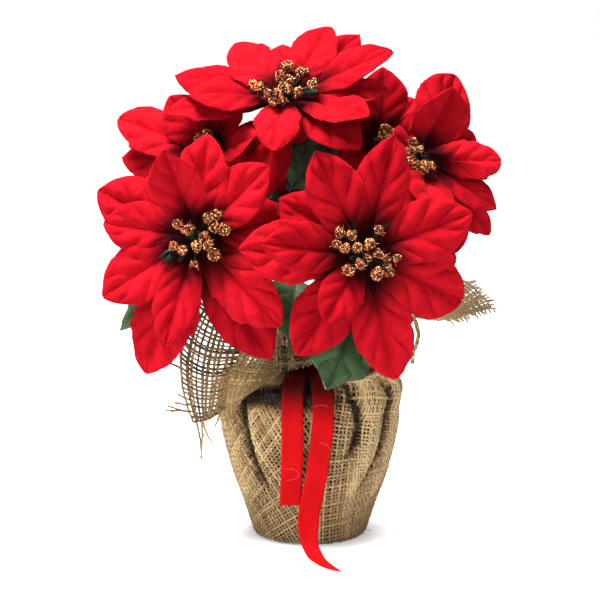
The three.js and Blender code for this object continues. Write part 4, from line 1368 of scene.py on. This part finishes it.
class Bracts(bpy.types.Operator):
    """Velvet bracts: two whorls to a bloom, each on its hub."""

    bl_idname = "poinsettia.bracts"
    bl_label = "Bracts"

    def execute(self, context):
        look = settings("bract")
        tree = blade_tree("bracts", bract_outline, BRACT_VEINS, 0.26)
        velvet, edge = bract_velvet(look), cut_edge("bract_edge", look.edge)
        # The hubs take the throat's colour: airbrushed dye and painted shade.
        flock = matt("hub_flock", look.throat_airbrush_and_shade, 0.9, 900.0)
        chance = np.random.default_rng(11)
        for name, bloom in BLOOMS.items():
            place = bloom_frame(name)
            for kind, rise in (("lower", 0.0), ("upper", WHORL_RISE)):
                rows = [self.root(place, rise, number, bract, chance)
                        for number, bract in enumerate(bloom[kind])]
                label = f"{name}_{kind}_bracts"
                blades = grow(
                    label, blade_roots(rows), tree, Stations=look.stations, Columns=look.columns,
                    Thickness=look.thickness, Emboss=look.emboss, Ruffle=look.ruffle,
                    Ragged=look.ragged, Root=BRACT_ROOT * MM, Face=velvet, Edge=edge)
                hub = lathe("hub", (
                    (0, rise - 0.8), (HUB_RADIUS - 0.8, rise - 0.7), (HUB_RADIUS - 0.3, rise),
                    (HUB_RADIUS - 1.4, rise + 0.8), (0, rise + 1.1)), 24, place, flock)
                register_piece(joined(label, [blades, hub]), "bract", f"bloom_{name}_{kind}_bracts")
        return {"FINISHED"}

    def root(self, place, rise, number, bract, chance):
        """One bract's blade. Neighbours stand a little apart in height, and a bract that
        doesn't bend gets a trace of bend, because its arc has to have a radius."""
        clock, length, width, lift, bend, fold = bract
        turn = math.radians(clock)
        forward = Vector((math.cos(turn), math.sin(turn), 0))
        left = Vector((-math.sin(turn), math.cos(turn), 0))
        spot = place @ Vector((0, 0, (rise + 0.35 * (number % 3) - 0.35) * MM))
        axes = (place.to_3x3() @ axis for axis in (forward, left, UP))
        form = (math.radians(lift), math.radians(bend or 0.5), math.tan(math.radians(fold * 0.7)))
        size = (length * MM, width * MM, chance.random())
        return (spot, *axes, size, form)


class Cluster:
    """The flower heads of one bloom, with their stalks and needles, in its own frame."""

    STAND = 3  # how far from the disc's middle the outermost stalks stand
    SHORTEST, LONGER = 8.5, 4.5  # a stalk's length in the middle, and what the rim's add
    HEAD_LIFT = 1.8  # from a stalk's end to the middle of its head
    SIDE_HEADS, NEEDLES = 2, 6  # smaller heads and needles on each head
    TUFT_LENGTH, TUFT_NEEDLES = 13, 9

    def __init__(self, name, chance):
        self.place = bloom_frame(name)
        self.chance = chance
        self.stalks, self.needles = Strands(), Strands()
        self.tips, self.aims, self.girths = [], [], []

    def stand(self, clock, spread, part=1.0):
        """Where a stalk stands on the disc, and its aim, from its angles in radians."""
        x, y = math.cos(clock), math.sin(clock)
        aim = Vector((math.sin(spread) * x, math.sin(spread) * y, math.cos(spread)))
        return Vector((self.STAND * part * x, self.STAND * part * y, DISC_RISE)), aim

    def line(self, strands, points, aim, girth, tint):
        """Add a line of points in the bloom's frame to stalks or needles."""
        strands.add([self.place @ (point * MM) / MM for point in points],
                    self.place.to_3x3() @ aim.orthogonal(), girth, tint)

    def head(self, tip, aim, girth):
        """Add a head: its middle, the way it points and its girth each way."""
        self.tips.append(self.place @ (tip * MM))
        self.aims.append(self.place.to_3x3() @ aim)
        self.girths.append(girth)

    def any_side(self):
        """Any direction at all."""
        return Vector(self.chance.normal(0, 1, 3)).normalized()

    def add_stalk(self, clock, spread, girth, full_spread):
        """A stalk with a beaded head, or with a bud where the girth is nothing."""
        chance = self.chance
        part = min(1, abs(spread) / math.radians(full_spread))
        seat, aim = self.stand(clock, spread, part)
        length = (self.SHORTEST + self.LONGER * part) * min(1, full_spread / FULL_SPREAD + 0.1)
        tip = seat + aim * (length + chance.uniform(-1.0, 2.0) + self.HEAD_LIFT)
        self.line(self.stalks, [seat.lerp(tip, step) for step in (0, 0.35, 0.7, 1)], aim,
                  (1.2, 1.0, 1.0, 0.9), chance.random())
        if not girth:
            bud = [tip + aim * step for step in (-6, -3.5, -0.5, 1.5, 2.6, 3.2)]
            self.line(self.stalks, bud, aim, (0.5, 1.3, 1.7, 1.5, 1.0, 0.2), 0.8)
            return
        self.head(tip, aim, (girth, girth * chance.uniform(0.8, 1.15),
                             girth * chance.uniform(0.9, 1.4)))
        for _ in range(self.SIDE_HEADS):
            self.head(tip + self.any_side() * 2.3 * girth, aim, chance.uniform(0.4, 0.65, 3))
        for _ in range(self.NEEDLES):
            side = self.any_side()
            start = tip + side * 2.0
            end = start + (side + aim * 0.9).normalized() * chance.uniform(1.8, 3.4)
            self.line(self.needles, (start, start.lerp(end, 0.5), end), aim, (1.0, 0.8, 0.3),
                      chance.random())

    def add_long_bud(self, clock, spread, length):
        """A long bare bud."""
        seat, aim = self.stand(math.radians(clock), math.radians(spread))
        bud = [seat + aim * length * step for step in (0, 0.25, 0.5, 0.65, 0.8, 0.92, 1)]
        self.line(self.stalks, bud, aim, (1.2, 1.2, 1.9, 2.8, 3.0, 2.0, 0.4), 0.5)

    def add_tuft(self, clock, spread):
        """A tuft of bare needles at the end of a thin stalk."""
        seat, aim = self.stand(math.radians(clock), math.radians(spread))
        knot = seat + aim * self.TUFT_LENGTH
        for _ in range(self.TUFT_NEEDLES):
            end = knot + (Vector(self.chance.normal(0, 0.5, 3)) + aim) * 4.5
            self.line(self.stalks, (seat, knot, end), aim, (0.5, 0.6, 0.2), 0.5)


class FlowerHeads(bpy.types.Operator):
    """Beaded flower heads, and the stalks, buds and needles among them."""

    bl_idname = "poinsettia.flower_heads"
    bl_label = "Flower heads"

    def execute(self, context):
        look = settings("head")
        tree = bead_tree()
        beads = bead_metal(look)
        core = matt("head_core", look.core, 0.7, 900.0)
        green = moulded_green("stalk_green", look.stalk)
        chance = np.random.default_rng(5)
        for seed, (name, bloom) in enumerate(BLOOMS.items()):
            cluster = Cluster(name, chance)
            for spot in self.spots(bloom, look, chance):
                cluster.add_stalk(*spot, bloom["spread"])
            for bud in bloom.get("buds", ()):
                cluster.add_long_bud(*bud)
            for tuft in bloom.get("tufts", ()):
                cluster.add_tuft(*tuft)
            mesh = new_mesh("heads", cluster.tips, aim=cluster.aims, girth=cluster.girths)
            heads = grow("heads", mesh, tree, Radius=look.radius, Bead=look.bead, Seed=seed + 3,
                         Core=core, Beads=beads)
            needles = cluster.needles.grow("needles", look.needle, look.needle, 4, beads)
            node = f"bloom_{name}_cyathia"
            register_piece(joined(f"{name}_flower_heads", [heads, needles]), "cyathia", node)
            rods = cluster.stalks.grow("stalks", look.rod, look.rod, 8, green)
            boss = lathe("boss", (
                (0, DISC_RISE - PIN_LENGTH), (1.4, DISC_RISE - PIN_LENGTH), (1.5, DISC_RISE),
                (4.4, DISC_RISE), (4.8, DISC_RISE + 0.6), (3.0, DISC_RISE + 1.8),
                (0, DISC_RISE + 2.2)), 20, cluster.place, green)
            register_piece(joined(f"{name}_stalks", [rods, boss]), "stem", node)
        return {"FINISHED"}

    def spots(self, bloom, look, chance):
        """Angles in radians and girth of each flower head: as they are listed, or else
        scattered evenly, with a bud for every sixth."""
        spots = [(math.radians(clock), math.radians(spread), girth)
                 for clock, spread, girth in bloom.get("heads", ())]
        if spots:
            return spots
        number = round(look.heads * (0.4 + 0.6 * bloom["spread"] / FULL_SPREAD))
        for k in range(number):
            spread = math.radians(bloom["spread"] * math.sqrt((k + 0.3) / number))
            spread += chance.normal(0, 0.12)
            clock = math.radians(GOLDEN_ANGLE * k + chance.normal(0, 14))
            spots.append((clock, spread, 0 if k % 6 == 4 else chance.uniform(0.7, 1.15)))
        return spots


class Stems(bpy.types.Operator):
    """The trunk, its seven branches, and the cups behind the blooms."""

    bl_idname = "poinsettia.stems"
    bl_label = "Stems and cups"

    def execute(self, context):
        green = moulded_green("stem_plastic", settings("head").stalk, 0.42)
        strands = Strands()
        for name in BLOOMS:
            path = stem_path(name)
            ripple = 1.0 + 0.05 * np.sin(np.arange(len(path)) * 1.9)
            strands.add(path, (0.0, 1.0, 0.05), ripple, 0.5)
        branches = strands.grow("branches", 2 * STEM_RADIUS * MM, 2 * STEM_RADIUS * MM, 12, green)
        bark = [(TRUNK_RADIUS + 0.18 * math.sin(height * 0.9), height)
                for height in np.linspace(TRUNK_FOOT, TRUNK_TOP, 30)]
        trunk = lathe("trunk", [(0, TRUNK_FOOT), *bark, (0, TRUNK_TOP + 0.5)], 24, Matrix(), green)
        register_piece(joined("stems_branched", [branches, trunk]), "stem", "stems")
        top = -HUB_HALF - GAP
        low = top - CUP_LENGTH
        for name in BLOOMS:
            cup = lathe(f"{name}_cup", (
                (0, low + CUP_HOLE), (STEM_BORE, low + CUP_HOLE), (STEM_BORE, low), (3.5, low),
                (3.8, low + 1.2), (4.4, low + 3.6), (5.0, top - 2.4),
                (CUP_RADIUS - 0.1, top - 1.2), (CUP_RADIUS, top - 0.2), (5.2, top), (1.8, top),
                (1.8, top - CUP_HOLE), (0, top - CUP_HOLE)), 24, bloom_frame(name), green)
            register_piece(cup, "stem", f"bloom_{name}_cup")
        return {"FINISHED"}


class Leaves(bpy.types.Operator):
    """Cloth leaves with their petioles and the collars that slide on the stems."""

    bl_idname = "poinsettia.leaves"
    bl_label = "Leaves"

    def execute(self, context):
        look = settings("leaf")
        tree = blade_tree("leaves", leaf_outline, LEAF_VEINS, 0.0)
        cloth, edge = leaf_cloth(look), cut_edge("leaf_edge", look.edge)
        green = moulded_green("petiole_plastic", settings("head").stalk, 0.5)
        half_arch = LEAF_ARCH / 2
        chance = np.random.default_rng(23)
        for name, (stem, at, base, tip, width, face) in LEAVES.items():
            base = Vector(base)
            rib = Vector(tip) - base
            side = rib.cross(Vector(face)).normalized()
            top = side.cross(rib).normalized()
            length = rib.length * MM * half_arch / math.sin(half_arch)
            size, form = (length, width * MM, chance.random()), (half_arch, -LEAF_ARCH, 0.18)
            roots = blade_roots([(base * MM, rib.normalized(), -side, top, size, form)])
            blade = grow(
                "blade", roots, tree, Stations=look.stations, Columns=look.columns,
                Thickness=look.thickness, Emboss=look.emboss, Ruffle=look.ruffle,
                Ragged=look.ragged, Root=0.0, Face=cloth, Edge=edge)
            path = stem_path(stem, 101)
            spot = Vector(path[round(100 * at)])
            along = (Vector(path[round(100 * at) + 1]) - spot).normalized()
            out = base - spot
            out = (out - along * out.dot(along)).normalized()
            route = [spot + out * 2.9, spot + out * 7.4, base,
                     base + rib * 0.08 + top * 0.024 * rib.length]
            strands = Strands()
            strands.add(smooth_path(route, 16), along, np.linspace(1.2, 0.7, 16), 0.5)
            petiole = strands.grow("petiole", look.petiole, look.petiole, 10, green)
            piece = joined(f"{name}_leaf", [blade, petiole, self.collar(spot, along, green)])
            register_piece(piece, "leaf", f"leaf_{name}")
        return {"FINISHED"}

    def collar(self, spot, along, green):
        """The ring that slides on the stem."""
        place = Matrix.Translation(spot * MM) @ UP.rotation_difference(along).to_matrix().to_4x4()
        return lathe("collar", (
            (STEM_BORE, -2), (3.2, -1.9), (3.4, -1.2), (3.4, 1.2), (3.2, 1.9), (STEM_BORE, 2),
            (STEM_BORE, -2)), 24, place, green)


class Burlap(bpy.types.Operator):
    """The square of open jute weave, drawn up round the pot and gathered at the neck."""

    bl_idname = "poinsettia.burlap"
    bl_label = "Burlap"

    def execute(self, context):
        look = settings("wrap")
        yarn = jute(look)
        # The lining is coloured dark with painted shade.
        shaded_lining_cloth = matt("burlap_lining", look.lining, 0.95, 380.0, 0.6 * MM, 0.7)
        chance = np.random.default_rng(42)
        near, far, loose, hairs = Strands(), Strands(), Strands(), Strands()
        for number, strands in enumerate((near, near, near, far)):
            weave_quarter(strands, number, look, chance)
        weave_base(near, chance)
        weave_frill(loose, look, chance)
        for flap in FLAPS.values():
            weave_flap(loose, look, chance, *flap)
        self.add_selvedge(loose)
        self.add_fuzz(hairs, chance)

        def woven(name, strands, sides=look.sides):
            return strands.grow(name, look.yarn, look.flat, sides, yarn)

        wall = joined("burlap_wall", [woven("near", near), self.lining(shaded_lining_cloth)])
        back = woven("burlap_back", far)
        collar = joined("burlap_collar", [woven("loose", loose), woven("hairs", hairs, 3)])
        for piece in (wall, back, collar):
            register_piece(piece, "burlap", "burlap_wrap")
        return {"FINISHED"}

    def lining(self, material):
        """The layers of cloth folded in behind the outer weave, coloured dark as painted shade that
        shows through the holes.
        """
        rows, around, thickness = 52, 104, 0.6
        a, b = np.meshgrid(np.linspace(0, 2 * math.pi, around, endpoint=False) * WRAP_CHART_RADIUS,
                           np.linspace(0, PROFILE_LENGTH, rows))
        tuck = -2.5 * smooth_step(2, 12, b) - 0.5
        points = [wrap_body(a, b, tuck - depth).reshape(-1, 3) * MM for depth in (0, thickness)]
        mesh = new_mesh("lining", np.concatenate(points), shell_faces(rows, around))
        return new_piece("lining", mesh, material)

    def add_selvedge(self, strands):
        """A twisted strip of selvedge that hangs from the neck on the right."""
        number = 30
        path = smooth_path(HANGING, number)
        turns = np.linspace(0, 5 * math.pi, number)
        for phase in (0, 2, 4):
            twist = np.stack([np.cos(turns + phase), np.sin(turns + phase), 0 * turns], axis=1)
            strands.add(path + twist * 0.8, (0, -1, 0.1), np.linspace(1.0, 0.6, number),
                        0.1 * phase)

    def add_fuzz(self, strands, chance):
        """Stray fibres all over the wall."""
        spots = []
        for _ in range(FUZZ["spots"]):
            a = np.array(chance.uniform(0, 2 * math.pi) * WRAP_CHART_RADIUS)
            b = np.array(chance.uniform(2, PROFILE_LENGTH - 2))
            spots.append(lay(wrap_body, a, b))
        for _ in range(FUZZ["hairs"]):
            point, normal = spots[chance.integers(len(spots))]
            hair(strands, point, normal, chance, FUZZ["longest"], FUZZ["girth"])


class Ribbon(bpy.types.Operator):
    """The ribbon: a band round the neck, the knot and two tails."""

    bl_idname = "poinsettia.ribbon"
    bl_label = "Ribbon"

    def execute(self, context):
        look = settings("ribbon")
        velvet = ribbon_velvet(look)
        meshes = [self.tail(*tail, look) for tail in TAILS] + [self.band(), self.knot()]
        piece = joined("ribbon_tied", [new_piece(mesh.name, mesh, velvet) for mesh in meshes])
        lint = self.lint(look)
        for item in (piece, lint):
            register_piece(item, "ribbon", "ribbon")
        return {"FINISHED"}

    def tail(self, route, turn, on_floor, look):
        """A thin closed strip along its route, with a slight curl across."""
        rows, columns = 90, 9
        middle = smooth_path(route, rows)
        length = np.linalg.norm(np.diff(middle, axis=0), axis=1).sum() * MM
        points, along = [], []
        for side in (0.5, -0.5):
            for i in range(rows):
                part = i / (rows - 1)
                width = (0.5 + 0.5 * min(1, part * 5)) * look.width / MM
                if on_floor:
                    width *= 1 - 0.26 * smooth_step(0.69, 0.80, part) - 0.35 * max(0, part * 6 - 5)
                tangent = middle[min(i + 1, rows - 1)] - middle[max(i - 1, 0)]
                tangent /= np.linalg.norm(tangent)
                angle = math.radians(turn * part)
                across = np.array([math.cos(angle), math.sin(angle), 0])
                across -= tangent * tangent.dot(across)
                across /= np.linalg.norm(across)
                normal = np.cross(across, tangent)
                for k in range(columns):
                    s = 2 * k / (columns - 1) - 1
                    curl = 0.35 * (1 - s * s) + 0.12 * math.sin(part * 23 + s * 2)
                    cut = 6 * s * max(0, part * 8 - 7) if on_floor else 0
                    point = middle[i] + across * s * width / 2 + normal * (curl - 0.3)
                    point = point + normal * side * look.thickness / MM + tangent * cut
                    points.append(point * MM)
                    along.append(part * length)
        mesh = new_mesh("tail", points, shell_faces(rows, columns, False), along=along)
        weld(mesh)
        return mesh

    def band(self):
        """The ribbon bunched round the neck."""
        rows, around = 11, 96
        points = []
        for i in range(rows):
            part = i / (rows - 1)
            for k in range(around):
                turn = 2 * math.pi * k / around
                pleat = (0.5 * math.sin(part * 14 + 0.8 * math.sin(turn * 2))
                         + 0.25 * math.sin(turn * 5 + part * 6))
                radius = 18.7 + 0.7 * math.sin(part * math.pi) + pleat * 0.5
                height = 100.6 + 6.6 * part + 0.5 * math.sin(turn * 3)
                points.append((radius * math.cos(turn), radius * math.sin(turn), height))
        points += [(0.965 * x, 0.965 * y, z) for x, y, z in points]
        # The band's along is nought, so the ribbon's painted shadow covers it.
        return new_mesh("band", [Vector(point) * MM for point in points], shell_faces(rows, around),
                        along=[0.0] * len(points))

    def knot(self):
        """The pinched knot, pleated where the tails leave it."""
        rows, around = 25, 40
        points = []
        for i in range(rows):
            tilt = math.pi * i / (rows - 1)
            for k in range(around):
                turn = 2 * math.pi * k / around
                pleat = 1 + 0.09 * math.sin(turn * 5 + 2 * math.cos(tilt)) * math.sin(tilt)
                x = math.cos(tilt) * (1 + 0.12 * math.sin(turn * 2))
                y = math.sin(tilt) * math.cos(turn) * pleat
                z = math.sin(tilt) * math.sin(turn) * pleat
                points.append(Vector([middle + radius * way for middle, radius, way in zip(
                    KNOT, KNOT_RADII, (x, y, z))]) * MM)
        # The knot's along is nought, so the ribbon's painted shadow covers it.
        mesh = new_mesh("knot", points, grid_faces(rows, around), along=[0.0] * len(points))
        weld(mesh)
        return mesh

    def lint(self, look):
        """Loose pale fibres that cling to the tails."""
        strands = Strands()
        for middle, (width, height), start, end in LINT:
            turns = np.radians(np.linspace(start, end, 18))
            path = np.stack([middle[0] + width * np.cos(turns), np.full_like(turns, middle[1]),
                             middle[2] + height * np.sin(turns)], axis=1)
            strands.add(path, (0, -1, 0), 1.0, 0.8)
        material = cut_edge("lint_fibre", look.lint)
        return strands.grow("ribbon_lint", look.fibre, look.fibre, 6, material)


class PotAndFiller(bpy.types.Operator):
    """Finishes for the plastic pot and the set filler inside the wrap."""

    bl_idname = "poinsettia.pot_and_filler"
    bl_label = "Pot and filler"

    def execute(self, context):
        look = settings("pot")
        finishes = {
            "pot": matt("pot_plastic", look.plastic, 0.45, 240.0, 0.08 * MM, 0.3),
            "filler": matt("set_filler", look.filler, 0.95, 700.0, 0.4 * MM, 0.4),
        }
        for name, material in finishes.items():
            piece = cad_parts[name]
            for slot in piece.material_slots:
                slot.material = material
        return {"FINISHED"}


class Stage(bpy.types.Operator):
    """A pale floor, soft light and the camera."""

    bl_idname = "poinsettia.stage"
    bl_label = "Stage"

    def execute(self, context):
        look = settings("stage")
        scene = context.scene
        back = Vector((0, -math.cos(look.rise), math.sin(look.rise)))
        camera = bpy.data.cameras.new("camera")
        camera.lens = camera.sensor_width * look.distance / look.view
        camera.clip_start, camera.clip_end = 0.05, 20
        scene.camera = linked("camera", camera)
        scene.camera.location = Vector(look.target) + back * look.distance
        scene.camera.rotation_euler = back.to_track_quat("Z", "Y").to_euler()

        sides = ((-1, -1), (1, -1), (1, 1), (-1, 1))
        corners = [(x * FLOOR_HALF, y * FLOOR_HALF, 0) for x, y in sides]
        new_piece("floor", new_mesh("floor", corners, ((0, 1, 2, 3),)), self.paper(look))
        for light in LIGHTS:
            self.light(look, *light)
        scene.world = self.sky(look)
        scene.view_settings.view_transform = "Standard"
        return {"FINISHED"}

    def sky(self, look):
        """White surroundings that look brighter than they light."""
        world = bpy.data.worlds.new("surroundings")
        world.use_nodes = True
        tree = world.node_tree
        sky = tree.nodes["Background"]
        sky.inputs["Color"].default_value = (1, 1, 1, 1)
        seen = make(tree, "ShaderNodeLightPath", output="Is Camera Ray")
        feed(tree, sky.inputs["Strength"], seen * (1.0 - look.sky) + look.sky)
        return world

    def paper(self, look):
        """Matt white paper with a painted glow that only the camera sees: it brightens the paper
        away from the plant and is dimmer near the pot, which paints the floor darker there.
        """
        material, tree, shader, place = start_material(
            "floor_paper", 0.9, Specular_IOR_Level=0.1, Emission_Color=(1, 1, 1))
        grain = noise(place, 300.0, 2.0)
        base = mix(grain, look.floor, darker(look.floor, 0.995))
        paint(shader, base, grain, 0.02 * MM)
        away = make(tree, "ShaderNodeVectorMath", {0: place}, output="Value", operation="LENGTH")
        seen = make(tree, "ShaderNodeLightPath", output="Is Camera Ray")
        # Painted light: a glow that grows away from the pot; near the pot it is weaker, a painted
        # contact shadow.
        painted_glow = away.rise(0.031, 0.05) * 0.5 + away.rise(0.1, 0.9) * 0.2 + 0.38
        feed(tree, shader.inputs["Emission Strength"], painted_glow * seen)
        return material

    def light(self, look, name, source, part, place, width):
        """A softbox that faces the lit point."""
        lamp = bpy.data.lights.new(name, "AREA")
        lamp.size = width
        lamp.energy = getattr(look, source) * part
        holder = linked(name, lamp)
        holder.location = place
        facing = holder.location - Vector(LIT_POINT)
        holder.rotation_euler = facing.to_track_quat("Z", "Y").to_euler()


OPERATORS = (Stage, Bracts, FlowerHeads, Stems, Leaves, Burlap, Ribbon, PotAndFiller)


class PoinsettiaPanel(bpy.types.Panel):
    """The plant's pieces and their settings."""

    bl_idname = "VIEW3D_PT_poinsettia"
    bl_label = "Poinsettia"
    bl_space_type = "VIEW_3D"
    bl_region_type = "UI"
    bl_category = "Poinsettia"

    def draw(self, context):
        for operator in OPERATORS:
            self.layout.operator(operator.bl_idname)
        for kind in SETTINGS:
            box = self.layout.box()
            box.label(text=kind.capitalize())
            group = settings(kind)
            for name in group.bl_rna.properties.keys():
                if name not in ("rna_type", "name"):
                    box.prop(group, name)


def register():
    for kind, group in SETTINGS.items():
        bpy.utils.register_class(group)
        setattr(bpy.types.Scene, "poinsettia_" + kind, bpy.props.PointerProperty(type=group))
    for operator in OPERATORS:
        bpy.utils.register_class(operator)
    bpy.utils.register_class(PoinsettiaPanel)


def unregister():
    bpy.utils.unregister_class(PoinsettiaPanel)
    for operator in reversed(OPERATORS):
        bpy.utils.unregister_class(operator)
    for kind, group in reversed(SETTINGS.items()):
        delattr(bpy.types.Scene, "poinsettia_" + kind)
        bpy.utils.unregister_class(group)


def main():
    register()
    for operator in OPERATORS:
        group, name = operator.bl_idname.split(".")
        getattr(getattr(bpy.ops, group), name)()


if __name__ == "__main__":
    main()
